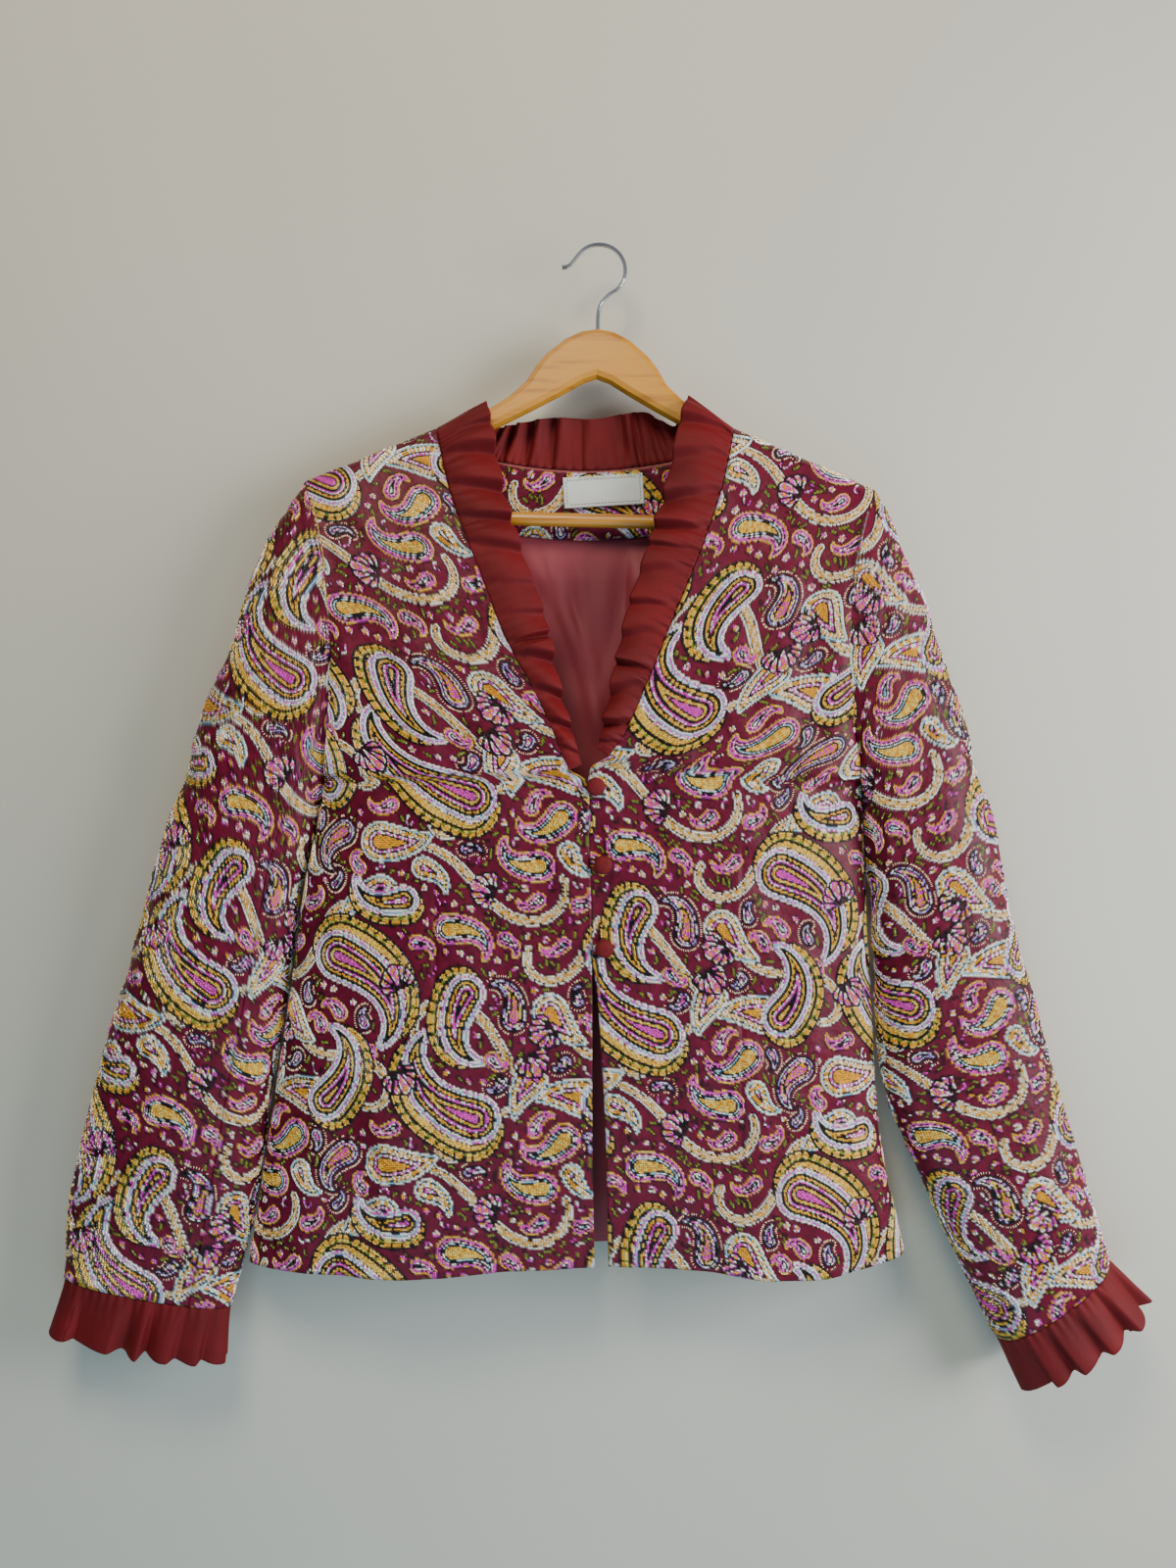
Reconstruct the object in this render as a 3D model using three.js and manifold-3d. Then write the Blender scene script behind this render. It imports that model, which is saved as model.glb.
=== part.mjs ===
// Cocktail jacket on a wooden hanger, in millimetres.
//
// The jacket hangs as it is stored: fronts closed by three covered buttons and open below them,
// sleeves hanging beside the body, a pleated chiffon ruffle round the neck and at each cuff.
// Frame: +Z up, the fronts face -Y, +X is the wearer's left.
// The origin is the inside top of the hanger's hook, where a rail or a wall hook carries it.
// "down" in a name or a table is the distance below the origin, so z is minus down.
import * as THREE from 'three';
import Module from 'manifold-3d';
import { mergeVertices } from 'three/addons/utils/BufferGeometryUtils.js';

const wasm = await Module();
wasm.setup();

// Thicknesses and gaps
const CLOTH = 2;
const CHIFFON = 1.2;
const LINING = 1;
const LABEL = 0.7;
const SEAM_GAP = 0.3;

// Jacket body, each side named for the wearer
const SIDES = { right: -1, left: 1 };
const NECK_POINT = { right: { x: -124.7, down: 139.2 }, left: { x: 102.3, down: 139.2 } };
const SHOULDER_WRAP = { reach: 7, depth: 12 };
const CHEST_DEPTH = 40;
const HEM_DEPTH = 37;
const BACK_DEPTH = 22;
const UNDERLAP = 2.8;
const FRONT_FULLNESS = 3;
const BACK_FULLNESS = 2.6;

// How fast a front deepens down its neckline, and how its columns close up towards the side
const NECKLINE_POWER = 0.9;
const FRONT_CROWDING = 0.75;

// The neckline of each front, from the shoulder seam to the bottom of the V
const NECKLINE = {
  right: [
    { down: 139.2, x: -124.7 },
    { down: 194, x: -112 },
    { down: 255, x: -89 },
    { down: 301, x: -71 },
    { down: 350, x: -45 },
    { down: 401, x: -23 },
  ],
  left: [
    { down: 139.2, x: 102.3 },
    { down: 187, x: 92 },
    { down: 235, x: 76 },
    { down: 279, x: 58 },
    { down: 328, x: 38 },
    { down: 374, x: 18 },
    { down: 391, x: 6 },
  ],
};

// The edge of each front below the V, from the V to the hem
const FRONT_EDGE = {
  right: [
    { down: 401, x: -23 },
    { down: 408, x: -10.4 },
    { down: 445, x: -8.3 },
    { down: 493, x: -6.8 },
    { down: 554, x: -6.1 },
    { down: 683, x: -5.6 },
    { down: 766, x: -4.2 },
  ],
  left: [
    { down: 391, x: 6 },
    { down: 399, x: -7 },
    { down: 440, x: -9.6 },
    { down: 520, x: -9 },
    { down: 560, x: -3 },
    { down: 620, x: 1.5 },
    { down: 683, x: 4.4 },
    { down: 766, x: 6 },
  ],
};

// The side seams, from the underarm to the hem
const SIDE_SEAM = {
  right: [
    { down: 405, x: -208 },
    { down: 440, x: -214 },
    { down: 486, x: -223.5 },
    { down: 560, x: -233.5 },
    { down: 635, x: -244.5 },
    { down: 709, x: -256 },
    { down: 772, x: -266.5 },
  ],
  left: [
    { down: 410, x: 198 },
    { down: 486, x: 201 },
    { down: 590, x: 206.5 },
    { down: 632, x: 208.5 },
    { down: 687, x: 214 },
    { down: 740, x: 225 },
    { down: 766, x: 231 },
  ],
};

// The hem of each front: across runs from the front edge, 0, to the side seam, 1
const FRONT_HEM = {
  right: [
    { across: 0, down: 766 },
    { across: 0.25, down: 768 },
    { across: 0.55, down: 773 },
    { across: 0.8, down: 772 },
    { across: 1, down: 771 },
  ],
  left: [
    { across: 0, down: 766 },
    { across: 0.3, down: 768 },
    { across: 0.65, down: 776 },
    { across: 1, down: 765 },
  ],
};

// The drape of each front: how far the cloth stands out at the middle of the panel, chest to hem
const DRAPE = { chest: 3, hem: 6, waves: 1.5, count: 2.5 };

// Back neckline, from the right neck point to the left one: across is its fraction
const BACK_NECK = { dip: 29, roundness: 1.8, stand: 13, standRoundness: 6 };
const NECK_COLUMNS = [0, 0.01, 0.04, 0.14, 0.31, 0.5, 0.69, 0.86, 0.96, 0.99, 1];
const FACING_END = 0.22;

// Sleeves: rings from the armhole to the cuff, each from an outer point to an inner point,
// with its depth before and behind the chord and the bow of the armhole towards the body
const SLEEVES = {
  right: [
    { outerX: -223, outer: 180, innerX: -208, inner: 405, front: 30, back: 20, bow: 15, y: 0 },
    { outerX: -239, outer: 203, innerX: -210.5, inner: 420, front: 32, back: 20, bow: 12, y: 0 },
    { outerX: -256, outer: 234, innerX: -214, inner: 438, front: 34, back: 21, bow: 8, y: 0 },
    { outerX: -277, outer: 290, innerX: -221, inner: 467, front: 35, back: 22, bow: 3, y: -1 },
    { outerX: -303, outer: 362, innerX: -229, inner: 503, front: 34, back: 22, bow: 0, y: -2 },
    { outerX: -326, outer: 438, innerX: -235.5, inner: 550, front: 32, back: 21, bow: 0, y: -3 },
    { outerX: -347, outer: 511, innerX: -242, inner: 597, front: 30, back: 20, bow: 0, y: -4 },
    { outerX: -368, outer: 583, innerX: -249.5, inner: 645, front: 28, back: 19, bow: 0, y: -5 },
    { outerX: -385, outer: 652, innerX: -257, inner: 694, front: 25, back: 17, bow: 0, y: -5 },
    { outerX: -399, outer: 717, innerX: -266.5, inner: 749, front: 22, back: 15, bow: 0, y: -5 },
    { outerX: -406.5, outer: 784, innerX: -280.5, inner: 807, front: 18, back: 12, bow: 0, y: -5 },
  ],
  left: [
    { outerX: 209, outer: 186.5, innerX: 198, inner: 410, front: 30, back: 20, bow: 19, y: 0 },
    { outerX: 220, outer: 206, innerX: 200.5, inner: 425, front: 32, back: 20, bow: 15, y: 0 },
    { outerX: 233, outer: 240, innerX: 202, inner: 443, front: 34, back: 21, bow: 10, y: 0 },
    { outerX: 253, outer: 286, innerX: 204, inner: 470, front: 35, back: 22, bow: 4, y: -1 },
    { outerX: 276, outer: 362, innerX: 206.5, inner: 505, front: 34, back: 22, bow: 0, y: -2 },
    { outerX: 297, outer: 434, innerX: 209, inner: 550, front: 32, back: 21, bow: 0, y: -3 },
    { outerX: 311, outer: 503, innerX: 212, inner: 600, front: 31, back: 21, bow: 0, y: -4 },
    { outerX: 328, outer: 566, innerX: 219.5, inner: 648, front: 30, back: 21, bow: 0, y: -5 },
    { outerX: 345, outer: 634, innerX: 237, inner: 692, front: 30, back: 21, bow: 0, y: -5 },
    { outerX: 364, outer: 696, innerX: 263.5, inner: 750, front: 31, back: 22, bow: 0, y: -5 },
    { outerX: 384, outer: 769, innerX: 300.5, inner: 829, front: 32, back: 22, bow: 0, y: -5 },
  ],
};
const SLEEVE_FULLNESS = 2.4;

// The first ring of each sleeve is the body's armhole
const armhole = { right: SLEEVES.right[0], left: SLEEVES.left[0] };
const SHOULDER_TIP = {
  right: { x: armhole.right.outerX, down: armhole.right.outer },
  left: { x: armhole.left.outerX, down: armhole.left.outer },
};
const UNDERARM = {
  right: { x: armhole.right.innerX, down: armhole.right.inner },
  left: { x: armhole.left.innerX, down: armhole.left.inner },
};

// Degrees round half a sleeve ring, from its outer point to its inner one; they also set the
// rows of the body panels along the armhole
const RING_ANGLES = [0, 10, 25, 42, 60, 80, 100, 120, 138, 155, 170, 180];
const SLEEVE_SEAMS = {
  right: { front: 7, back: 6, names: ['upper', 'under'] },
  left: { front: 1, back: 9, names: ['under', 'upper'] },
};

// Neck ruffle: the free edge beside each front, from the shoulder to the V
const RUFFLE_EDGE = {
  right: [
    { along: 0, x: -87, down: 118, y: -1 },
    { along: 0.03, x: -85, down: 124, y: -10 },
    { along: 0.07, x: -82, down: 136, y: -15 },
    { along: 0.22, x: -73, down: 186, y: -20 },
    { along: 0.43, x: -57, down: 240, y: -27 },
    { along: 0.6, x: -42, down: 282, y: -31 },
    { along: 0.8, x: -29, down: 341, y: -36 },
    { along: 1, x: -13.5, down: 397, y: -40 },
  ],
  left: [
    { along: 0, x: 68, down: 114, y: -1 },
    { along: 0.03, x: 66, down: 120, y: -10 },
    { along: 0.07, x: 60, down: 136, y: -15 },
    { along: 0.22, x: 50, down: 184, y: -20 },
    { along: 0.42, x: 36, down: 231, y: -27 },
    { along: 0.62, x: 20, down: 282, y: -31 },
    { along: 0.82, x: 8.5, down: 334, y: -36 },
    { along: 1, x: -2, down: 385, y: -38 },
  ],
};
const BACK_RUFFLE_EDGE = [
  { along: 0, x: -87, down: 118, y: 1 },
  { along: 0.03, x: -85, down: 122, y: 10.5 },
  { along: 0.1, x: -80, down: 133, y: 14 },
  { along: 0.22, x: -66, down: 131, y: 15 },
  { along: 0.38, x: -38, down: 126, y: 16 },
  { along: 0.55, x: -4, down: 127, y: 16 },
  { along: 0.75, x: 34, down: 122, y: 15 },
  { along: 0.9, x: 58, down: 133, y: 14 },
  { along: 0.97, x: 66, down: 119, y: 10.5 },
  { along: 1, x: 68, down: 114, y: 1 },
];
const NECK_RUFFLE = { folds: 14, roll: 3, seamWave: 0.5, edgeWave: 3 };
const BACK_RUFFLE = { folds: 12, roll: 1, seamWave: 0.4, edgeWave: 2.6 };
const COLUMNS_PER_FOLD = 4;
const RUFFLE_ROWS = 2;

// How pleats differ along a strip: they swell by a share, lean, and die out at its ends
const PLEATS = { crowding: 0.5, swell: 0.2, swellTurns: 7, lean: 1.2, endRate: 8, probe: 0.01 };

// Cuff ruffles
const CUFF_RUFFLE = {
  start: 0.7, depth: 39, rows: [0, 0.35, 1], waves: 13, flare: 5, seamWave: 0.6, edgeWave: 4.2,
  swell: 0.2, swellTurns: 3,
};
const RING_SAMPLES = 360;

// Covered buttons on the left front, each in a rouleau loop from the right front's edge
const BUTTONS = [
  { x: -3.3, down: 413 },
  { x: 2.1, down: 470 },
  { x: 3, down: 531 },
];
const BUTTON = { radius: 6.8, dome: 4.6, shankRadius: 2.2, shank: 4, stand: 1.2 };
// The puffed head as fractions of its radius and height
const BUTTON_HEAD = [[0.85, 0], [1, 0.35], [0.86, 0.75], [0.5, 0.935], [0, 1]];
const LOOP = { wire: 1.1, clearance: 0.35, start: 0.6, degrees: 30, sides: 6, steps: 14 };

// Sewn label inside the back neck
const LABEL_SIZE = { width: 62, height: 24, x: 3, down: 184, tilt: 3.5, columns: 4, reach: 30 };

// Pressed fold down the centre of the back lining
const LINING_PLEAT = { x: 21, width: 16, rise: 5 };
const LINING_HEM = 6;
const FACING_ENDS = 3;

// Hanger: half its outline, from the middle of the top edge round the tip to the bottom edge
const HANGER_HALF = [
  [0, -63.5], [12, -65.3], [25, -71.7], [39, -83.5], [46, -92], [54, -105], [66, -116],
  [83, -127.5], [106, -140.5], [122, -146.4], [160, -162.8], [200, -180], [208, -186],
  [211, -195], [209.5, -208], [204, -216], [197, -217], [192, -212], [190, -203],
  [180, -195], [160, -184], [120, -163.5], [80, -143], [45, -124.5], [25, -113.5],
  [10, -104.5], [0, -101],
];
const HANGER = { thickness: 13, rounding: 5, tilt: 1.4 };
const BAR = { down: 209.5, radius: 5.3, half: 188.5, tenon: 3.2, tenonLength: 8 };
const HOOK = {
  wire: 1.75, radius: 20, stemFoot: 76, stemTop: 52, arcStart: -42, arcEnd: 172, arcStep: 21.4,
  socket: 30, sides: 8, steps: 38,
};
// The wire's bend from the stem into the arc, as x and rise above the stem's top, and its tip
const HOOK_BEND = [[0, -12], [0, 0], [1.8, 8], [8, 15.5]];
const HOOK_TIP = [[-23.5, -15.5], [-28.5, -16.5]];
const ROUND_SIDES = 16;

const COLOURS = {
  cloth: { color: '#5a1a29', roughness: 0.5, metalness: 0 },
  chiffon: { color: '#8a2529', roughness: 0.7, metalness: 0 },
  lining: { color: '#7e3b45', roughness: 0.4, metalness: 0 },
  label: { color: '#c9cbca', roughness: 0.6, metalness: 0 },
  wood: { color: '#d9a863', roughness: 0.5, metalness: 0 },
  chrome: { color: '#b8bbbd', roughness: 0.2, metalness: 1 },
};

const { lerp, clamp, degToRad } = THREE.MathUtils;
const group = new THREE.Group();

function addMesh(name, geometry, finish, parent = group) {
  const mesh = new THREE.Mesh(geometry, new THREE.MeshStandardMaterial(finish));
  mesh.name = name;
  parent.add(mesh);
  return mesh;
}

// A smooth value through a table's rows: cubic pieces whose slopes come from the rows beside
function fromTable(table, key, value, at) {
  const last = table.length - 1;
  const position = clamp(at, table[0][key], table[last][key]);
  let i = 0;
  while (i < last - 1 && position > table[i + 1][key]) i += 1;
  const slope = (k) => {
    const before = table[Math.max(k - 1, 0)];
    const after = table[Math.min(k + 1, last)];
    return (after[value] - before[value]) / (after[key] - before[key]);
  };
  const span = table[i + 1][key] - table[i][key];
  const t = (position - table[i][key]) / span;
  const t2 = t * t;
  const t3 = t2 * t;
  return table[i][value] * (2 * t3 - 3 * t2 + 1) + slope(i) * span * (t3 - 2 * t2 + t)
    + table[i + 1][value] * (3 * t2 - 2 * t3) + slope(i + 1) * span * (t3 - t2);
}

// The rounded section of a flattened tube: 1 at its middle, 0 at its edge
function fullness(across, power) {
  return (1 - Math.min(Math.abs(across), 1) ** power) ** (1 / power);
}

// A signed power, which spaces the points of a rounded section evenly
function signedPower(value, power) {
  return Math.sign(value) * Math.abs(value) ** power;
}

// Sheets: a grid of points with, at each, the unit direction to the inside of the garment
function makeSheet(points, inside, closed = false) {
  const rows = points.length;
  const cols = points[0].length;
  const normals = points.map((row, r) => row.map((point, c) => {
    const up = points[Math.max(r - 1, 0)][c];
    const downPoint = points[Math.min(r + 1, rows - 1)][c];
    const before = closed ? row[(c + cols - 1) % cols] : row[Math.max(c - 1, 0)];
    const after = closed ? row[(c + 1) % cols] : row[Math.min(c + 1, cols - 1)];
    const normal = downPoint.clone().sub(up).cross(after.clone().sub(before)).normalize();
    if (normal.dot(inside(point, r, c)) < 0) normal.negate();
    return normal;
  }));
  return { points, normals, closed };
}

// A part of a sheet, by rows and columns
function cutSheet(sheet, rowFrom, rowTo, colFrom, colTo) {
  const cut = (grid) => grid.slice(rowFrom, rowTo + 1).map(
    (row) => row.slice(colFrom, colTo + 1).map((v) => v.clone()),
  );
  return { points: cut(sheet.points), normals: cut(sheet.normals), closed: false };
}

function copySheet(sheet) {
  return cutSheet(sheet, 0, sheet.points.length - 1, 0, sheet.points[0].length - 1);
}

// Moves one edge of a sheet back along the cloth, which leaves the gap of a seam
function trim(sheet, edge, amount = SEAM_GAP / 2) {
  const { points } = sheet;
  const rows = points.length;
  const cols = points[0].length;
  const pull = (point, neighbour) => {
    const step = neighbour.clone().sub(point);
    point.addScaledVector(step.normalize(), amount);
  };
  if (edge === 'top') points[0].forEach((p, c) => pull(p, points[1][c]));
  if (edge === 'bottom') points[rows - 1].forEach((p, c) => pull(p, points[rows - 2][c]));
  if (edge === 'start') points.forEach((row) => pull(row[0], row[1]));
  if (edge === 'end') points.forEach((row) => pull(row[cols - 1], row[cols - 2]));
  return sheet;
}

// A closed wall between two depths inside a sheet
function wall(sheet, from, to) {
  const { points, normals, closed } = sheet;
  const rows = points.length;
  const cols = points[0].length;
  const positions = [];
  for (const depth of [from, to]) {
    points.forEach((row, r) => row.forEach((point, c) => {
      positions.push(...point.clone().addScaledVector(normals[r][c], depth).toArray());
    }));
  }
  const layer = rows * cols;
  const at = (r, c, side) => side * layer + r * cols + (c % cols);
  const index = [];
  const quad = (a, b, c, d) => index.push(a, b, c, a, c, d);
  const spans = closed ? cols : cols - 1;
  for (let r = 0; r < rows - 1; r += 1) {
    for (let c = 0; c < spans; c += 1) {
      quad(at(r, c, 0), at(r + 1, c, 0), at(r + 1, c + 1, 0), at(r, c + 1, 0));
      index.push(at(r, c, 1), at(r + 1, c + 1, 1), at(r + 1, c, 1));
      index.push(at(r, c, 1), at(r, c + 1, 1), at(r + 1, c + 1, 1));
    }
  }
  for (let c = 0; c < spans; c += 1) {
    quad(at(0, c, 0), at(0, c + 1, 0), at(0, c + 1, 1), at(0, c, 1));
    quad(at(rows - 1, c, 1), at(rows - 1, c + 1, 1), at(rows - 1, c + 1, 0), at(rows - 1, c, 0));
  }
  if (!closed) {
    for (let r = 0; r < rows - 1; r += 1) {
      quad(at(r, 0, 1), at(r + 1, 0, 1), at(r + 1, 0, 0), at(r, 0, 0));
      quad(at(r, cols - 1, 0), at(r + 1, cols - 1, 0), at(r + 1, cols - 1, 1), at(r, cols - 1, 1));
    }
  }
  return facingOut(positions, index);
}

// A closed mesh with its faces turned outwards
function facingOut(positions, index) {
  const corner = (i) => new THREE.Vector3().fromArray(positions, index[i] * 3);
  let volume = 0;
  for (let i = 0; i < index.length; i += 3) {
    volume += corner(i).dot(corner(i + 1).cross(corner(i + 2)));
  }
  const ordered = volume > 0 ? index : index.slice().reverse();
  const geometry = new THREE.BufferGeometry();
  geometry.setAttribute('position', new THREE.Float32BufferAttribute(positions, 3));
  geometry.setIndex(ordered);
  return geometry;
}

// Two sheets that meet along an edge share the direction of their walls there
function shareNormals(first, second) {
  first.forEach((normal, i) => {
    const other = second[i];
    if (normal.dot(other) <= 0) return;
    const mean = normal.clone().add(other).normalize();
    normal.copy(mean);
    other.copy(mean);
  });
}

// The fractions from outer to inner point, and the depths, of half a sleeve ring
const ringStep = RING_ANGLES.map((degrees) => {
  const angle = degToRad(degrees);
  return {
    along: 0.5 * (1 - signedPower(Math.cos(angle), 2 / SLEEVE_FULLNESS)),
    depth: Math.abs(Math.sin(angle)) ** (2 / SLEEVE_FULLNESS),
  };
});
const HALF_RING = RING_ANGLES.length - 1;

// A point of a sleeve ring: along its chord, and out before (-1) or behind (+1) it
function ringPoint(side, row, along, depth, facing) {
  const bow = -SIDES[side] * row.bow * 4 * along * (1 - along);
  return new THREE.Vector3(
    lerp(row.outerX, row.innerX, along) + bow,
    row.y + facing * depth * (facing < 0 ? row.front : row.back),
    -lerp(row.outer, row.inner, along),
  );
}

// A whole ring: down the front from the outer to the inner point, and back up behind
function ring(side, row) {
  const points = [];
  for (let i = 0; i < 2 * HALF_RING; i += 1) {
    const front = i <= HALF_RING;
    const step = ringStep[front ? i : 2 * HALF_RING - i];
    points.push(ringPoint(side, row, step.along, step.depth, front ? -1 : 1));
  }
  return points;
}

function armholePoint(side, index, facing) {
  const step = ringStep[index];
  return ringPoint(side, armhole[side], step.along, step.depth, facing);
}

// How far the cloth stands off the hanger's plane a little below the shoulder seam
function shoulderWrap(distance) {
  return SHOULDER_WRAP.depth * Math.sqrt(clamp(distance / SHOULDER_WRAP.reach, 0, 1));
}

// Depth of a front at its neckline, at a fraction of the way down to the V
function necklineDepth(fraction, length) {
  const slope = Math.sin(fraction * Math.PI / 2) ** NECKLINE_POWER;
  return shoulderWrap(fraction * length) + (CHEST_DEPTH - SHOULDER_WRAP.depth) * slope;
}

// A point of the neckline seam of a front
function necklinePoint(side, fraction) {
  const table = NECKLINE[side];
  const top = table[0].down;
  const bottom = table[table.length - 1].down;
  const down = lerp(top, bottom, fraction);
  return new THREE.Vector3(
    fromTable(table, 'down', 'x', down),
    -necklineDepth(fraction, bottom - top),
    -down,
  );
}

// Rows of a body panel below the underarm, as fractions of the way to the hem
const LOWER_ROWS = [0.022, 0.09, 0.19, 0.3, 0.42, 0.54, 0.66, 0.78, 0.9, 1];
const FRONT_COLUMNS = 11;

// A front: rows from the neckline or front edge across to the armhole or side seam
function frontSheet(side) {
  const seamTable = NECKLINE[side];
  const vDown = seamTable[seamTable.length - 1].down;
  const underlap = side === 'left' ? UNDERLAP : 0;
  const rows = [];
  ringStep.forEach((step, j) => {
    rows.push({
      inner: necklinePoint(side, step.along),
      outer: armholePoint(side, j, -1),
      level: step.along,
      lower: 0,
    });
  });
  for (const lower of LOWER_ROWS) {
    const edgeDown = lerp(vDown, FRONT_HEM[side][0].down, lower);
    const sideDown = lerp(UNDERARM[side].down, SIDE_SEAM[side].at(-1).down, lower);
    rows.push({
      inner: new THREE.Vector3(
        fromTable(FRONT_EDGE[side], 'down', 'x', edgeDown),
        -lerp(CHEST_DEPTH, HEM_DEPTH, lower) + underlap,
        -edgeDown,
      ),
      outer: new THREE.Vector3(fromTable(SIDE_SEAM[side], 'down', 'x', sideDown), 0, -sideDown),
      level: 1,
      lower,
    });
  }
  const points = rows.map((row) => {
    const line = [];
    for (let i = 0; i <= FRONT_COLUMNS; i += 1) {
      line.push(frontPoint(side, row, i / FRONT_COLUMNS));
    }
    return line;
  });
  return makeSheet(points, (p) => new THREE.Vector3(-0.3 * Math.sign(p.x), 1, -0.4));
}

// A point of a front's row; the columns close up towards the side, where the section turns
function frontPoint(side, row, column) {
  const power = 2 / FRONT_FULLNESS;
  const turn = column * Math.PI / 2;
  const across = lerp(column, Math.sin(turn) ** power, FRONT_CROWDING);
  const full = fullness(across, FRONT_FULLNESS);
  const point = new THREE.Vector3().lerpVectors(row.inner, row.outer, across);
  point.y = lerp(row.outer.y, row.inner.y, full);
  const middle = Math.sin(Math.PI * across) ** 2;
  const swing = lerp(DRAPE.chest, DRAPE.hem, row.lower) * row.level;
  const ripple = DRAPE.waves * row.lower * Math.sin(2 * Math.PI * DRAPE.count * across);
  point.y -= middle * (swing + ripple);
  if (row.lower > 0) {
    const straight = lerp(-row.inner.z, -row.outer.z, across);
    const hem = fromTable(FRONT_HEM[side], 'across', 'down', across);
    const ends = lerp(FRONT_HEM[side][0].down, FRONT_HEM[side].at(-1).down, across);
    point.z = -(straight + (hem - ends) * row.lower);
  }
  return point;
}

// The columns of the back: six on each shoulder, and across the neck those of its table
const SHOULDER_COLUMNS = 6;

function backAcross() {
  const width = SHOULDER_TIP.left.x - SHOULDER_TIP.right.x;
  const fraction = (x) => (x - SHOULDER_TIP.right.x) / width;
  const neck = [fraction(NECK_POINT.right.x), fraction(NECK_POINT.left.x)];
  const angles = neck.map((across) => Math.asin(signedPower(2 * across - 1, BACK_FULLNESS / 2)));
  const shoulder = (from, to) => {
    const steps = [];
    for (let i = 0; i <= SHOULDER_COLUMNS; i += 1) {
      const angle = lerp(from, to, i / SHOULDER_COLUMNS);
      steps.push(0.5 * (1 + signedPower(Math.sin(angle), 2 / BACK_FULLNESS)));
    }
    return steps;
  };
  const middle = NECK_COLUMNS.slice(1, -1).map((t) => lerp(neck[0], neck[1], t));
  return [
    ...shoulder(-Math.PI / 2, angles[0]),
    ...middle,
    ...shoulder(angles[1], Math.PI / 2),
  ];
}

// The top edge of the back: shoulder seam, neckline, shoulder seam
function backTop(across) {
  const x = lerp(SHOULDER_TIP.right.x, SHOULDER_TIP.left.x, across);
  const { right, left } = NECK_POINT;
  const neck = (x - right.x) / (left.x - right.x);
  if (neck < 0) {
    const t = (x - SHOULDER_TIP.right.x) / (right.x - SHOULDER_TIP.right.x);
    return { x, down: lerp(SHOULDER_TIP.right.down, right.down, t), stand: 0 };
  }
  if (neck > 1) {
    const t = (x - left.x) / (SHOULDER_TIP.left.x - left.x);
    return { x, down: lerp(left.down, SHOULDER_TIP.left.down, t), stand: 0 };
  }
  return {
    x,
    down: right.down + BACK_NECK.dip * fullness(2 * neck - 1, BACK_NECK.roundness),
    stand: BACK_NECK.stand * fullness(2 * neck - 1, BACK_NECK.standRoundness),
  };
}

// A point of the back at a fraction of the way down the armhole, or on to the hem
function backPoint(across, level, lower, edgeDepth) {
  const top = backTop(across);
  const underarm = lerp(UNDERARM.right.down, UNDERARM.left.down, across);
  const wrap = shoulderWrap(level * (underarm - top.down));
  const full = fullness(2 * across - 1, BACK_FULLNESS);
  const slope = Math.sqrt(Math.sin(level * Math.PI / 2));
  const middle = wrap + (BACK_DEPTH - SHOULDER_WRAP.depth) * slope;
  const raised = top.stand * (1 - wrap / SHOULDER_WRAP.depth);
  const y = lerp(edgeDepth, middle, full) + raised;
  if (lower === 0) {
    const bowAt = 4 * level * (1 - level);
    const bow = lerp(armhole.right.bow, -armhole.left.bow, across) * bowAt;
    const underX = lerp(UNDERARM.right.x, UNDERARM.left.x, across);
    return new THREE.Vector3(lerp(top.x, underX, level) + bow, y, -lerp(top.down, underarm, level));
  }
  const rightDown = lerp(UNDERARM.right.down, SIDE_SEAM.right.at(-1).down, lower);
  const leftDown = lerp(UNDERARM.left.down, SIDE_SEAM.left.at(-1).down, lower);
  const rightX = fromTable(SIDE_SEAM.right, 'down', 'x', rightDown);
  const leftX = fromTable(SIDE_SEAM.left, 'down', 'x', leftDown);
  return new THREE.Vector3(lerp(rightX, leftX, across), y, -lerp(rightDown, leftDown, across));
}

function backSheet() {
  const columns = backAcross();
  const points = [];
  ringStep.forEach((step) => {
    const edge = step.depth * armhole.right.back;
    points.push(columns.map((across) => backPoint(across, step.along, 0, edge)));
  });
  for (const lower of LOWER_ROWS) {
    points.push(columns.map((across) => backPoint(across, 1, lower, 0)));
  }
  return makeSheet(points, (p) => new THREE.Vector3(-0.3 * Math.sign(p.x), -1, -0.4));
}

// A sleeve: one tube of rings, later cut into its upper and under pieces
function sleeveSheet(side) {
  const rings = SLEEVES[side].map((row) => ring(side, row));
  return makeSheet(rings, (point, r) => {
    const row = SLEEVES[side][r];
    const middle = ringPoint(side, row, 0.5, 0, 1);
    return middle.sub(point);
  }, true);
}

// The columns of a closed tube from one seam round to the next
function cutTube(sheet, from, to) {
  const cols = sheet.points[0].length;
  const take = (grid) => grid.map((row) => {
    const line = [];
    for (let c = from; c <= to; c += 1) line.push(row[(c + cols) % cols].clone());
    return line;
  });
  return { points: take(sheet.points), normals: take(sheet.normals), closed: false };
}

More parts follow.
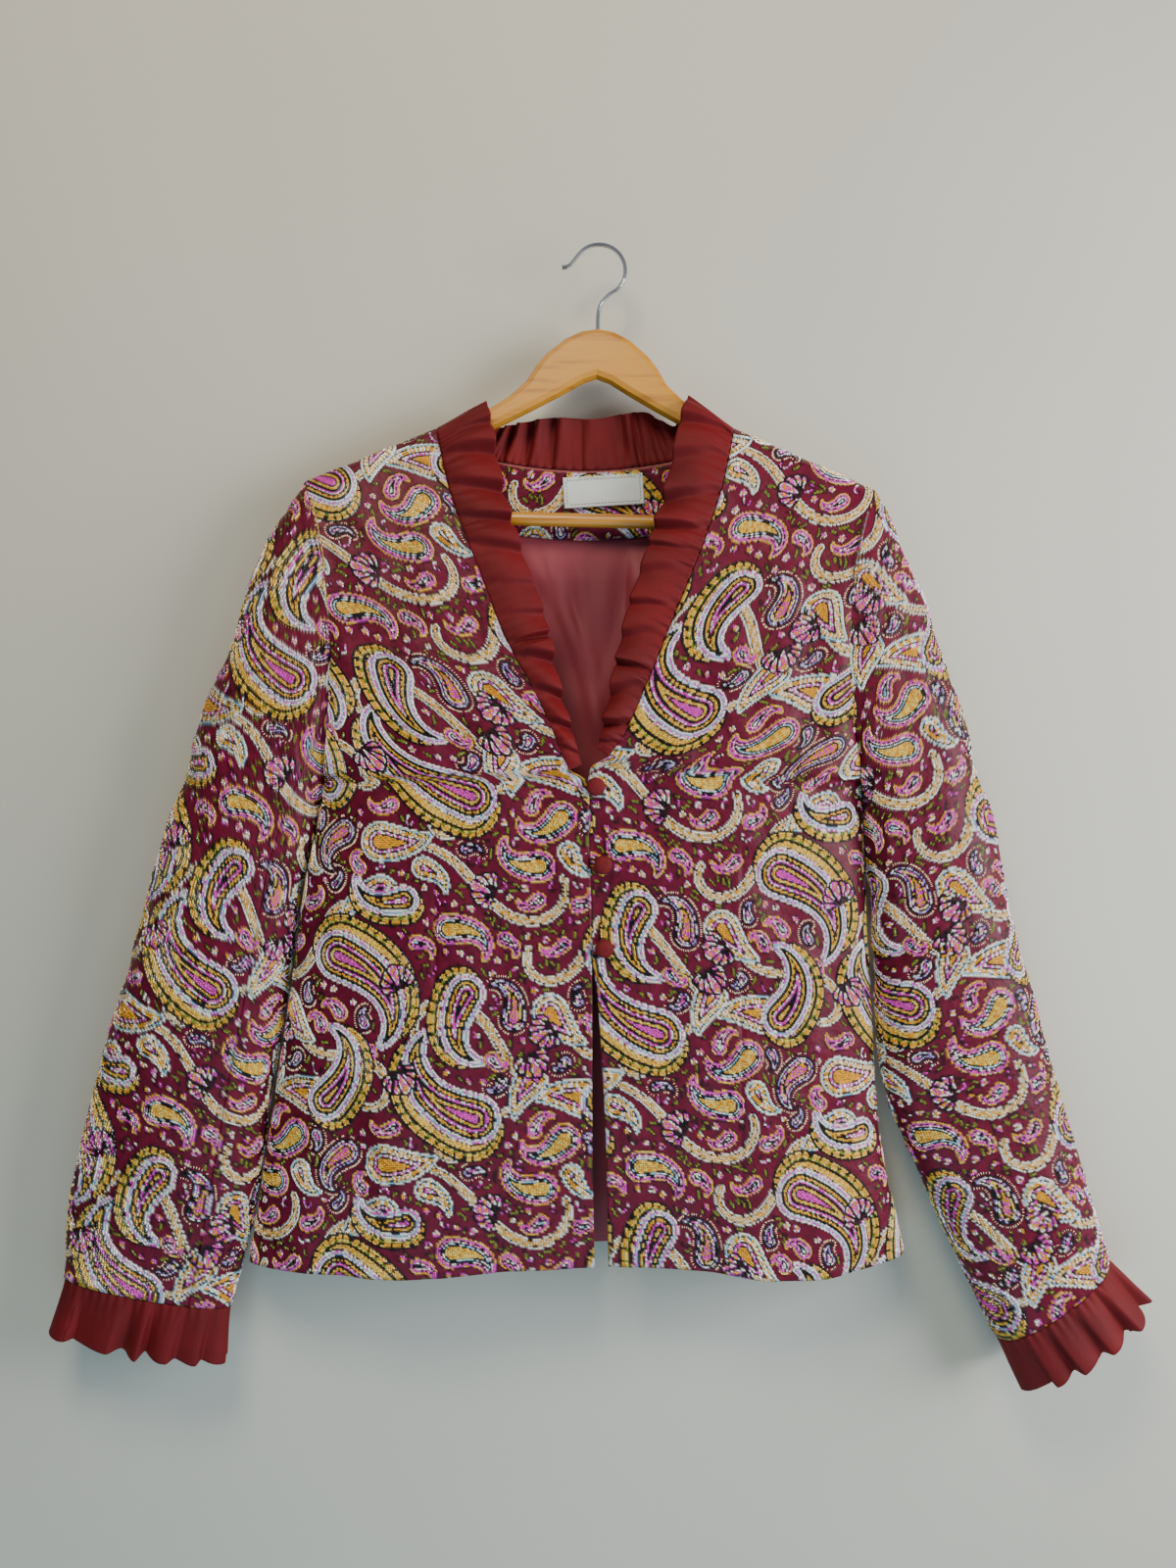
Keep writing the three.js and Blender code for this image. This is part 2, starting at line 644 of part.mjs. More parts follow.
// A pleated strip between the seam and a free edge, with folds across it
function ruffleSheet(seam, edge, outward, size, columns, cross) {
  const points = [];
  for (let w = 0; w <= cross; w += 1) {
    const across = w / cross;
    const line = [];
    for (let i = 0; i <= columns; i += 1) {
      const step = i / columns;
      const along = lerp(step, 0.5 * (1 - Math.cos(Math.PI * step)), PLEATS.crowding);
      const from = seam(along);
      const to = edge(along);
      const ahead = seam(Math.min(along + PLEATS.probe, 1)).sub(seam(Math.max(along - PLEATS.probe, 0)));
      const up = to.clone().sub(from).cross(ahead).normalize();
      if (up.dot(outward) < 0) up.negate();
      const ends = Math.min(1, PLEATS.endRate * along, PLEATS.endRate * (1 - along));
      const swell = 1 - PLEATS.swell + PLEATS.swell * Math.sin(PLEATS.swellTurns * along);
      const wave = Math.sin(2 * Math.PI * size.folds * step - PLEATS.lean * across);
      const height = lerp(size.seamWave, size.edgeWave, across) * ends * swell * wave;
      const roll = size.roll * Math.sin(Math.PI * across) * ends;
      line.push(from.lerp(to, across).addScaledVector(up, height + roll));
    }
    points.push(line);
  }
  return makeSheet(points, () => outward.clone().negate());
}

function edgeCurve(table) {
  return (along) => new THREE.Vector3(
    fromTable(table, 'along', 'x', along),
    fromTable(table, 'along', 'y', along),
    -fromTable(table, 'along', 'down', along),
  );
}

// The cuff's ring as even steps round it, with the directions out of it and down the sleeve
function cuffRing(side, count) {
  const row = SLEEVES[side].at(-1);
  const dense = [];
  for (let i = 0; i < RING_SAMPLES; i += 1) {
    const angle = 2 * Math.PI * i / RING_SAMPLES;
    const power = 2 / SLEEVE_FULLNESS;
    const along = 0.5 * (1 - signedPower(Math.cos(angle), power));
    const depth = Math.abs(Math.sin(angle)) ** power;
    dense.push(ringPoint(side, row, along, depth, Math.sin(angle) < 0 ? 1 : -1));
  }
  const curve = new THREE.CatmullRomCurve3(dense, true);
  curve.arcLengthDivisions = RING_SAMPLES;
  return curve.getSpacedPoints(count).slice(0, count);
}

function cuffRuffle(side) {
  const row = SLEEVES[side].at(-1);
  const chord = new THREE.Vector3(row.innerX - row.outerX, 0, row.outer - row.inner);
  const axis = new THREE.Vector3(0, 1, 0).cross(chord).normalize();
  if (axis.z > 0) axis.negate();
  const count = CUFF_RUFFLE.waves * COLUMNS_PER_FOLD;
  const top = cuffRing(side, count);
  const middle = ringPoint(side, row, 0.5, 0, 1);
  const points = [];
  for (const across of CUFF_RUFFLE.rows) {
    points.push(top.map((point, i) => {
      const outward = point.clone().sub(middle).normalize();
      const before = top[(i + count - 1) % count];
      const after = top[(i + 1) % count];
      const normal = after.clone().sub(before).cross(axis).normalize();
      if (normal.dot(outward) < 0) normal.negate();
      const swell = 1 - CUFF_RUFFLE.swell + CUFF_RUFFLE.swell * Math.sin(CUFF_RUFFLE.swellTurns * i);
      const wave = Math.sin(2 * Math.PI * i / COLUMNS_PER_FOLD) * swell;
      const height = CUFF_RUFFLE.flare * across
        + lerp(CUFF_RUFFLE.seamWave, CUFF_RUFFLE.edgeWave, across) * wave - CUFF_RUFFLE.seamWave;
      return point.clone().addScaledVector(axis, CUFF_RUFFLE.start + across * CUFF_RUFFLE.depth)
        .addScaledVector(normal, height);
    }));
  }
  return makeSheet(points, (point) => middle.clone().sub(point), true);
}

function tube(points, radius, sides, steps) {
  const shape = new THREE.Shape();
  for (let i = 0; i < sides; i += 1) {
    const angle = 2 * Math.PI * i / sides;
    const x = radius * Math.cos(angle);
    const y = radius * Math.sin(angle);
    if (i === 0) shape.moveTo(x, y);
    else shape.lineTo(x, y);
  }
  const extrudePath = new THREE.CatmullRomCurve3(points);
  return new THREE.ExtrudeGeometry(shape, { steps, extrudePath, bevelEnabled: false });
}

// Boolean cuts
function toManifold(geometry, matrix) {
  const bare = geometry.clone();
  bare.applyMatrix4(matrix);
  bare.deleteAttribute('normal');
  bare.deleteAttribute('uv');
  const merged = mergeVertices(bare, 1e-4);
  return new wasm.Manifold(new wasm.Mesh({
    numProp: 3,
    vertProperties: new Float32Array(merged.attributes.position.array),
    triVerts: new Uint32Array(merged.index.array),
  }));
}

function fromManifold(solid) {
  const mesh = solid.getMesh();
  const geometry = new THREE.BufferGeometry();
  geometry.setAttribute('position', new THREE.BufferAttribute(mesh.vertProperties, 3));
  geometry.setIndex(new THREE.BufferAttribute(mesh.triVerts, 1));
  return geometry;
}

// Hanger: arms, hook and bar, tilted a little about the hook as it hangs
const hanger = new THREE.Group();
hanger.rotation.y = degToRad(HANGER.tilt);
group.add(hanger);

function hangerArms() {
  const left = HANGER_HALF.slice(1, -1).map(([x, z]) => new THREE.Vector2(-x, z)).reverse();
  const outline = HANGER_HALF.map(([x, z]) => new THREE.Vector2(x, z)).concat(left);
  const body = new THREE.ExtrudeGeometry(new THREE.Shape(outline), {
    depth: HANGER.thickness - 2 * HANGER.rounding,
    bevelEnabled: true,
    bevelThickness: HANGER.rounding,
    bevelSize: HANGER.rounding,
    bevelOffset: -HANGER.rounding,
    bevelSegments: 2,
  });
  body.translate(0, 0, HANGER.rounding - HANGER.thickness / 2);
  const upright = new THREE.Matrix4().makeRotationX(Math.PI / 2);
  let solid = toManifold(body, upright);
  for (const side of [-1, 1]) {
    const depth = BAR.tenonLength + 1;
    const radius = BAR.tenon + SEAM_GAP;
    const socket = new THREE.CylinderGeometry(radius, radius, depth, ROUND_SIDES);
    const place = new THREE.Matrix4().makeTranslation(side * (BAR.half + depth / 2), 0, -BAR.down);
    place.multiply(new THREE.Matrix4().makeRotationZ(Math.PI / 2));
    solid = solid.subtract(toManifold(socket, place));
  }
  const holeRadius = HOOK.wire + SEAM_GAP;
  const hole = new THREE.CylinderGeometry(holeRadius, holeRadius, HOOK.socket, ROUND_SIDES);
  const holeMiddle = HOOK.socket / 2 - HOOK.stemFoot - SEAM_GAP;
  const holePlace = new THREE.Matrix4().makeTranslation(0, 0, holeMiddle);
  holePlace.multiply(new THREE.Matrix4().makeRotationX(Math.PI / 2));
  return fromManifold(solid.subtract(toManifold(hole, holePlace)));
}

function hangerHook() {
  const centre = -HOOK.radius + HOOK.wire;
  const points = [new THREE.Vector3(0, 0, -HOOK.stemFoot)];
  HOOK_BEND.forEach(([x, rise]) => points.push(new THREE.Vector3(x, 0, rise - HOOK.stemTop)));
  for (let degrees = HOOK.arcStart; degrees <= HOOK.arcEnd; degrees += HOOK.arcStep) {
    const angle = degToRad(degrees);
    points.push(new THREE.Vector3(
      HOOK.radius * Math.cos(angle),
      0,
      centre + HOOK.radius * Math.sin(angle),
    ));
  }
  HOOK_TIP.forEach(([x, z]) => points.push(new THREE.Vector3(x, 0, z)));
  return tube(points, HOOK.wire, HOOK.sides, HOOK.steps);
}

function hangerBar() {
  const { half, radius, tenon, tenonLength } = BAR;
  const end = half + tenonLength;
  const profile = [
    [0, -end], [tenon, -end], [tenon, -half], [radius, -half],
    [radius, half], [tenon, half], [tenon, end], [0, end],
  ].map(([r, y]) => new THREE.Vector2(r, y));
  const geometry = new THREE.LatheGeometry(profile, ROUND_SIDES);
  geometry.rotateZ(Math.PI / 2);
  geometry.translate(0, 0, -BAR.down);
  return geometry;
}

addMesh('hanger_arms', hangerArms(), COLOURS.wood, hanger);
addMesh('hanger_hook', hangerHook(), COLOURS.chrome, hanger);
addMesh('hanger_bar', hangerBar(), COLOURS.wood, hanger);

// Body panels and sleeves share their walls' directions along the armholes and side seams
const fronts = { right: frontSheet('right'), left: frontSheet('left') };
const back = backSheet();
const sleeves = { right: sleeveSheet('right'), left: sleeveSheet('left') };
const backLast = back.points[0].length - 1;

for (const side of Object.keys(SIDES)) {
  const front = fronts[side];
  const column = side === 'right' ? 0 : backLast;
  const across = -SIDES[side];
  const shoulder = new THREE.Vector3(
    SHOULDER_TIP[side].x - NECK_POINT[side].x,
    0,
    NECK_POINT[side].down - SHOULDER_TIP[side].down,
  );
  const under = new THREE.Vector3(0, 1, 0).cross(shoulder).normalize();
  if (under.z > 0) under.negate();
  front.normals[0].forEach((normal) => normal.copy(under));
  back.normals[0].forEach((normal, c) => {
    const x = back.points[0][c].x;
    const onShoulder = side === 'right' ? x <= NECK_POINT.right.x + 0.01 : x >= NECK_POINT.left.x - 0.01;
    if (onShoulder) normal.copy(under);
  });
  for (let j = 0; j <= HALF_RING; j += 1) {
    const sleeveTop = sleeves[side].normals[0];
    const frontEdge = front.normals[j].at(-1);
    const backEdge = back.normals[j][column];
    shareNormals([frontEdge], [sleeveTop[j]]);
    if (j === 0) backEdge.copy(frontEdge);
    else if (j < HALF_RING) shareNormals([backEdge], [sleeveTop[2 * HALF_RING - j]]);
  }
  for (let r = HALF_RING; r < front.normals.length; r += 1) {
    front.normals[r].at(-1).set(across, 0, 0);
    back.normals[r][column].set(across, 0, 0);
  }
}

for (const side of Object.keys(SIDES)) {
  const front = copySheet(fronts[side]);
  trim(front, 'top');
  trim(front, 'end');
  addMesh(`front_${side}`, wall(front, 0, CLOTH), COLOURS.cloth);
}
const backPanel = copySheet(back);
trim(backPanel, 'top');
trim(backPanel, 'start');
trim(backPanel, 'end');
addMesh('back', wall(backPanel, 0, CLOTH), COLOURS.cloth);

for (const side of Object.keys(SIDES)) {
  const seams = SLEEVE_SEAMS[side];
  const backSeam = 2 * HALF_RING - seams.back;
  const overTop = cutTube(sleeves[side], backSeam - 2 * HALF_RING, seams.front);
  const below = cutTube(sleeves[side], seams.front, backSeam);
  for (const [name, piece] of [[seams.names[0], overTop], [seams.names[1], below]]) {
    trim(piece, 'top', SEAM_GAP);
    trim(piece, 'start');
    trim(piece, 'end');
    addMesh(`sleeve_${name}_${side}`, wall(piece, 0, CLOTH), COLOURS.cloth);
  }
  addMesh(`cuff_ruffle_${side}`, wall(cuffRuffle(side), 0, CHIFFON), COLOURS.chiffon);
}

// Neck ruffles; where two of them meet over the shoulder their walls go straight down
function ruffleEnd(sheet, column) {
  const top = sheet.points[0].at(column);
  const edge = sheet.points.at(-1).at(column);
  const under = new THREE.Vector3(0, 1, 0).cross(edge.clone().sub(top)).normalize();
  if (under.z > 0) under.negate();
  sheet.normals.forEach((row) => row.at(column).copy(under));
}

for (const side of Object.keys(SIDES)) {
  const sheet = ruffleSheet(
    (along) => necklinePoint(side, along),
    edgeCurve(RUFFLE_EDGE[side]),
    new THREE.Vector3(0, -1, 0.3),
    NECK_RUFFLE,
    NECK_RUFFLE.folds * COLUMNS_PER_FOLD,
    RUFFLE_ROWS,
  );
  ruffleEnd(sheet, 0);
  trim(sheet, 'start');
  trim(sheet, 'top', 2 * SEAM_GAP);
  addMesh(`neck_ruffle_${side}`, wall(sheet, 0, CHIFFON), COLOURS.chiffon);
}
const neckFirst = SHOULDER_COLUMNS;
const neckLast = SHOULDER_COLUMNS + NECK_COLUMNS.length - 1;
const neckline = back.points[0].slice(neckFirst, neckLast + 1);

// A point of the back neckline, on the straight steps between the columns of the back
function backNeckPoint(along) {
  const x = lerp(neckline[0].x, neckline.at(-1).x, along);
  let i = 0;
  while (i < neckline.length - 2 && x > neckline[i + 1].x) i += 1;
  const t = (x - neckline[i].x) / (neckline[i + 1].x - neckline[i].x);
  return new THREE.Vector3().lerpVectors(neckline[i], neckline[i + 1], t);
}

const backRuffle = ruffleSheet(
  backNeckPoint,
  edgeCurve(BACK_RUFFLE_EDGE),
  new THREE.Vector3(0, 1, 0.3),
  BACK_RUFFLE,
  BACK_RUFFLE.folds * COLUMNS_PER_FOLD,
  RUFFLE_ROWS,
);
ruffleEnd(backRuffle, 0);
ruffleEnd(backRuffle, -1);
trim(backRuffle, 'start');
trim(backRuffle, 'end');
trim(backRuffle, 'top', 2 * SEAM_GAP);
addMesh('neck_ruffle_back', wall(backRuffle, 0, CHIFFON), COLOURS.chiffon);

// Facing, lining and label inside the back
const facingRow = ringStep.findIndex((step) => step.along >= FACING_END - 0.01);
const facing = cutSheet(back, 1, facingRow, neckFirst + FACING_ENDS, neckLast - FACING_ENDS);
trim(facing, 'bottom');
const inside = CLOTH + SEAM_GAP;
addMesh('back_neck_facing', wall(facing, inside, inside + LINING), COLOURS.cloth);

const lining = cutSheet(back, facingRow, back.points.length - 1, 2, backLast - 2);
trim(lining, 'top');
trim(lining, 'bottom', LINING_HEM);
lining.points.forEach((row) => row.forEach((point) => {
  const near = (point.x - LINING_PLEAT.x) / LINING_PLEAT.width;
  point.y -= LINING_PLEAT.rise * Math.exp(-near * near);
}));
addMesh('back_lining', wall(lining, inside, inside + LINING), COLOURS.lining);

function labelSheet() {
  const tilt = degToRad(LABEL_SIZE.tilt);
  const points = [];
  for (const v of [0.5, -0.5]) {
    const line = [];
    for (let i = 0; i <= LABEL_SIZE.columns; i += 1) {
      const u = (i / LABEL_SIZE.columns - 0.5) * LABEL_SIZE.width;
      const w = v * LABEL_SIZE.height;
      const x = LABEL_SIZE.x + u * Math.cos(tilt) - w * Math.sin(tilt);
      const down = LABEL_SIZE.down - u * Math.sin(tilt) - w * Math.cos(tilt);
      line.push(new THREE.Vector3(x, facingDepthAt(x, down), -down));
    }
    points.push(line);
  }
  return makeSheet(points, () => new THREE.Vector3(0, -1, 0));
}

// The inner face of the facing at a place, from the grid's cell that holds it
function facingDepthAt(x, down) {
  let nearest = -Infinity;
  facing.points.forEach((row, r) => row.forEach((point, c) => {
    const inner = point.clone().addScaledVector(facing.normals[r][c], inside + LINING);
    const far = Math.hypot(inner.x - x, inner.z + down);
    if (far < LABEL_SIZE.reach) nearest = Math.max(nearest, -inner.y);
  }));
  return -nearest;
}

addMesh('label', wall(labelSheet(), SEAM_GAP, SEAM_GAP + LABEL), COLOURS.label);

// Buttons and their loops
BUTTONS.forEach(({ x, down }, i) => {
  const seat = -CHEST_DEPTH + UNDERLAP - BUTTON.stand;
  const shank = [[0, 0], [BUTTON.shankRadius, 0], [BUTTON.shankRadius, BUTTON.shank]];
  const head = BUTTON_HEAD.map(([r, rise]) => [r * BUTTON.radius, BUTTON.shank + rise * BUTTON.dome]);
  const profile = [...shank, ...head].map(([r, y]) => new THREE.Vector2(r, y));
  const button = addMesh(`button_${i + 1}`, new THREE.LatheGeometry(profile, ROUND_SIDES), COLOURS.chiffon);
  button.rotation.x = Math.PI;
  button.position.set(x, seat, -down);

  const edgeX = fromTable(FRONT_EDGE.right, 'down', 'x', down) + LOOP.start;
  const reach = BUTTON.shankRadius + LOOP.clearance + LOOP.wire;
  const y = seat - BUTTON.shank / 2;
  const points = [new THREE.Vector3(edgeX, y, -down + reach)];
  for (let degrees = 90; degrees >= -90; degrees -= LOOP.degrees) {
    const angle = degToRad(degrees);
    points.push(new THREE.Vector3(x + reach * Math.cos(angle), y, -down + reach * Math.sin(angle)));
  }
  points.push(new THREE.Vector3(edgeX, y, -down - reach));
  addMesh(`button_loop_${i + 1}`, tube(points, LOOP.wire, LOOP.sides, LOOP.steps), COLOURS.chiffon);
});

export default group;
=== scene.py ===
"""Dresses the cocktail jacket on its hanger: embroidered satin, chiffon ruffles, lining, wood and wire.

Lengths in the tables and classes are millimetres in the frame of the part: +Z up, the fronts face
-Y, +X is the wearer's left, and the origin is the inside top of the hook. "down" is the distance
below the origin. Meshes are written in metres.
"""

import logging
import math
from dataclasses import dataclass, field
from enum import Enum
from typing import Callable, Optional, Sequence

import bpy
import numpy as np
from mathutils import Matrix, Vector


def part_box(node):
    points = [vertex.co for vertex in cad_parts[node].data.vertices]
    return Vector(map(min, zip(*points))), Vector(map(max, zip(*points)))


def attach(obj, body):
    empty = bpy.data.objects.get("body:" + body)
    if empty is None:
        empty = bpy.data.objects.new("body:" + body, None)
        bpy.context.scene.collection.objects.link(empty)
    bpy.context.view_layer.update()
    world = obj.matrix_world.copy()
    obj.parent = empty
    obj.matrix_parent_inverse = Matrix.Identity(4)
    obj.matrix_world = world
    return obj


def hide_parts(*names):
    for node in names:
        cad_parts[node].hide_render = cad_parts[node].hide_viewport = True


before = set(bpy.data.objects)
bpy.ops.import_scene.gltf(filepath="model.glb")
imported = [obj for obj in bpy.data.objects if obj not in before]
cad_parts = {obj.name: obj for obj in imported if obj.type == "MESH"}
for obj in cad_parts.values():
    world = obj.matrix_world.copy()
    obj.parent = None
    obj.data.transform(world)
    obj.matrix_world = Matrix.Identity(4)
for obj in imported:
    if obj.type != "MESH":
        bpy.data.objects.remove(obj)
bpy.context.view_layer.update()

log = logging.getLogger("jacket")
logging.basicConfig(level=logging.INFO, format="%(name)s: %(message)s")

MM = 0.001
BODY = "root"
Array = np.ndarray

CLOTH = 2.0
CHIFFON = 1.2
LINING = 1.0
LABEL = 0.7
SEAM_GAP = 0.3


class Side(Enum):
    """The wearer's side; the value is the sign of x there."""

    RIGHT = -1
    LEFT = 1

    @property
    def key(self) -> str:
        """The side's word in node names."""
        return self.name.lower()


class Slot(Enum):
    """The record's material slots."""

    EMBROIDERY = "embroidered_satin"
    LINING = "lining_satin"
    LABEL = "label_weave"
    CHIFFON = "red_chiffon"
    BUTTON = "button_cover"
    WOOD = "pale_wood"
    CHROME = "chromed_wire"


def curve(rows: Sequence[Sequence[float]], column: int, at: Array) -> Array:
    """A smooth value through a table's rows: cubic pieces whose slopes come from the rows beside.

    Args:
        rows: the table, with its key in the first column and keys rising.
        column: the column to read.
        at: keys, held within the table.

    Returns:
        The column's value at each key.
    """
    table = np.asarray(rows, float)
    keys, values = table[:, 0], table[:, column]
    at = np.clip(at, keys[0], keys[-1])
    i = np.clip(np.searchsorted(keys, at) - 1, 0, len(keys) - 2)
    slopes = np.empty_like(values)
    slopes[1:-1] = (values[2:] - values[:-2]) / (keys[2:] - keys[:-2])
    slopes[0] = (values[1] - values[0]) / (keys[1] - keys[0])
    slopes[-1] = (values[-1] - values[-2]) / (keys[-1] - keys[-2])
    span = keys[i + 1] - keys[i]
    t = (at - keys[i]) / span
    return (
        values[i] * (2 * t**3 - 3 * t**2 + 1)
        + slopes[i] * span * (t**3 - 2 * t**2 + t)
        + values[i + 1] * (3 * t**2 - 2 * t**3)
        + slopes[i + 1] * span * (t**3 - t**2)
    )


def mix(a: Array, b: Array, t: Array) -> Array:
    """The value a fraction t of the way from a to b."""
    return a + (b - a) * t


def fullness(across: Array, power: float) -> Array:
    """The rounded section of a flattened tube: 1 in its middle, 0 at its edges, (1-|x|^p)^(1/p)."""
    return (1 - np.minimum(np.abs(across), 1) ** power) ** (1 / power)


def signed_power(value: Array, power: float) -> Array:
    """A power that keeps the sign of its base."""
    return np.sign(value) * np.abs(value) ** power


def bell(distance: Array, width: float) -> Array:
    """A soft bump of height 1 that fades over the width given."""
    return np.exp(-((distance / width) ** 2))


def run_length(line: Array) -> Array:
    """The length along a line of points, from 0 at its first."""
    return np.concatenate([[0], np.cumsum(np.linalg.norm(np.diff(line, axis=0), axis=1))])


def ripples(u: Array, v: Array, seed: int, size: float, count: int = 7) -> Array:
    """Soft uneven relief: a sum of sine waves of random direction, about 1 high.

    Args:
        u, v: places on the cloth, in millimetres.
        seed: picks the waves.
        size: the longest wave, in millimetres.
        count: how many waves are added.

    Returns:
        The relief at each place.
    """
    rng = np.random.default_rng(seed)
    total = np.zeros(np.broadcast_shapes(u.shape, v.shape))
    for k in range(count):
        angle = rng.uniform(0, math.pi)
        length = size * rng.uniform(0.4, 1.0)
        phase = rng.uniform(0, 2 * math.pi)
        total += np.sin(2 * math.pi * (u * math.cos(angle) + v * math.sin(angle)) / length + phase)
    return total / count * 1.6


@dataclass
class Sheet:
    """A grid of points with the unit direction to the inside of the garment at each.

    Attributes:
        points: rows by columns by 3, in millimetres.
        inside: a direction roughly towards the inside, which orients the normals.
        closed: whether the last column joins the first.
        u, v: places on the flat cloth, in millimetres.
    """

    points: Array
    inside: Array
    closed: bool = False
    u: Array = field(init=False)
    v: Array = field(init=False)
    normals: Array = field(init=False)

    def __post_init__(self) -> None:
        """Works out normals as the cross product of the grid's two steps, and the flat places."""
        self.refresh()
        steps = np.linalg.norm(np.diff(self.points, axis=1), axis=2)
        self.u = np.concatenate([np.zeros((len(steps), 1)), np.cumsum(steps, axis=1)], axis=1)
        rises = np.linalg.norm(np.diff(self.points, axis=0), axis=2).mean(axis=1)
        self.v = np.repeat(np.concatenate([[0], np.cumsum(rises)])[:, None], self.u.shape[1], 1)

    def refresh(self) -> None:
        """Works the normals out again, after the points have moved."""
        p = self.points
        rows = np.gradient(p, axis=0)
        if self.closed:
            cols = np.roll(p, -1, axis=1) - np.roll(p, 1, axis=1)
        else:
            cols = np.gradient(p, axis=1)
        normal = np.cross(rows, cols)
        normal /= np.maximum(np.linalg.norm(normal, axis=2, keepdims=True), 1e-9)
        flip = np.sum(normal * self.inside, axis=2) < 0
        normal[flip] *= -1
        self.normals = normal

    def moved(self, depth: Array) -> Array:
        """The points moved towards the inside by a depth."""
        depth = np.asarray(depth, float)
        return self.points + self.normals * (depth[..., None] if depth.ndim else depth)

    def area(self) -> float:
        """The area of the grid in square metres, as the sum of its cells."""
        p = self.points
        a = np.cross(p[1:, :-1] - p[:-1, :-1], p[:-1, 1:] - p[:-1, :-1])
        b = np.cross(p[1:, :-1] - p[1:, 1:], p[:-1, 1:] - p[1:, 1:])
        return float((np.linalg.norm(a, axis=2) + np.linalg.norm(b, axis=2)).sum() / 2 * MM * MM)

    def flat(self) -> tuple[float, float]:
        """The width and length of the smallest plain rectangle of cloth, in metres."""
        return float(self.u.max() * MM), float(self.v.max() * MM)


def grid_faces(rows: int, cols: int, start: int, closed: bool, flip: bool) -> Array:
    """Quads of a grid whose vertices run row by row from a start index.

    Args:
        rows, cols: the grid's size in points.
        start: index of its first vertex.
        closed: whether the last column joins the first.
        flip: whether the faces turn the other way.

    Returns:
        Quads as an array of four indices each.
    """
    spans = cols if closed else cols - 1
    r, c = np.meshgrid(np.arange(rows - 1), np.arange(spans), indexing="ij")
    right = (c + 1) % cols
    quads = np.stack([r * cols + c, (r + 1) * cols + c, (r + 1) * cols + right, r * cols + right], -1)
    quads = quads.reshape(-1, 4) + start
    return quads[:, ::-1] if flip else quads


def make_mesh(name: str, vertices: Array, quads: Array, triangles: Array,
              inner_from: Optional[int] = None) -> bpy.types.Object:
    """Puts vertices in millimetres and faces into a new object, smooth shaded.

    Args:
        name: the object's name.
        vertices: points in millimetres.
        quads, triangles: faces as vertex indices.
        inner_from: faces whose first vertex is at or past this index take the second material.

    Returns:
        The new object, at the origin.
    """
    mesh = bpy.data.meshes.new(name)
    mesh.vertices.add(len(vertices))
    mesh.vertices.foreach_set("co", (vertices * MM).astype(np.float32).ravel())
    loops = np.concatenate([quads.ravel(), triangles.ravel()]).astype(np.int32)
    sizes = np.concatenate([np.full(len(quads), 4), np.full(len(triangles), 3)])
    starts = np.concatenate([[0], np.cumsum(sizes)[:-1]]).astype(np.int32)
    mesh.loops.add(len(loops))
    mesh.loops.foreach_set("vertex_index", loops)
    mesh.polygons.add(len(sizes))
    mesh.polygons.foreach_set("loop_start", starts)
    mesh.polygons.foreach_set("use_smooth", np.ones(len(sizes), bool))
    if inner_from is not None:
        slots = (loops[starts] >= inner_from).astype(np.int32)
        mesh.polygons.foreach_set("material_index", slots)
    mesh.update(calc_edges=True)
    mesh.validate()
    thing = bpy.data.objects.new(name, mesh)
    bpy.context.scene.collection.objects.link(thing)
    return thing


def coarse_pick(count: int, step: int) -> Array:
    """Indices of every step-th point of a line, with both of its ends."""
    picked = np.arange(0, count, step)
    if picked[-1] != count - 1:
        picked = np.append(picked, count - 1)
    return picked


def stitch(fine: Array, coarse: Array, picks: Array) -> Array:
    """Triangles between a fine edge and a coarse one whose points lie under some of the fine ones.

    Args:
        fine: vertex indices along the fine edge.
        coarse: vertex indices along the coarse edge.
        picks: for each coarse point, its place on the fine edge.

    Returns:
        Triangles as vertex indices.
    """
    nearest = np.clip(np.searchsorted(picks, np.arange(len(fine) - 1), side="right") - 1, 0, len(coarse) - 2)
    middle = (picks[nearest] + picks[nearest + 1]) // 2
    under = np.where(np.arange(len(fine) - 1) < middle, nearest, nearest + 1)
    fan = np.stack([fine[:-1], fine[1:], coarse[under]], -1)
    tops = fine[(picks[:-1] + picks[1:]) // 2]
    closing = np.stack([coarse[1:], coarse[:-1], tops], -1)
    return np.concatenate([fan, closing])


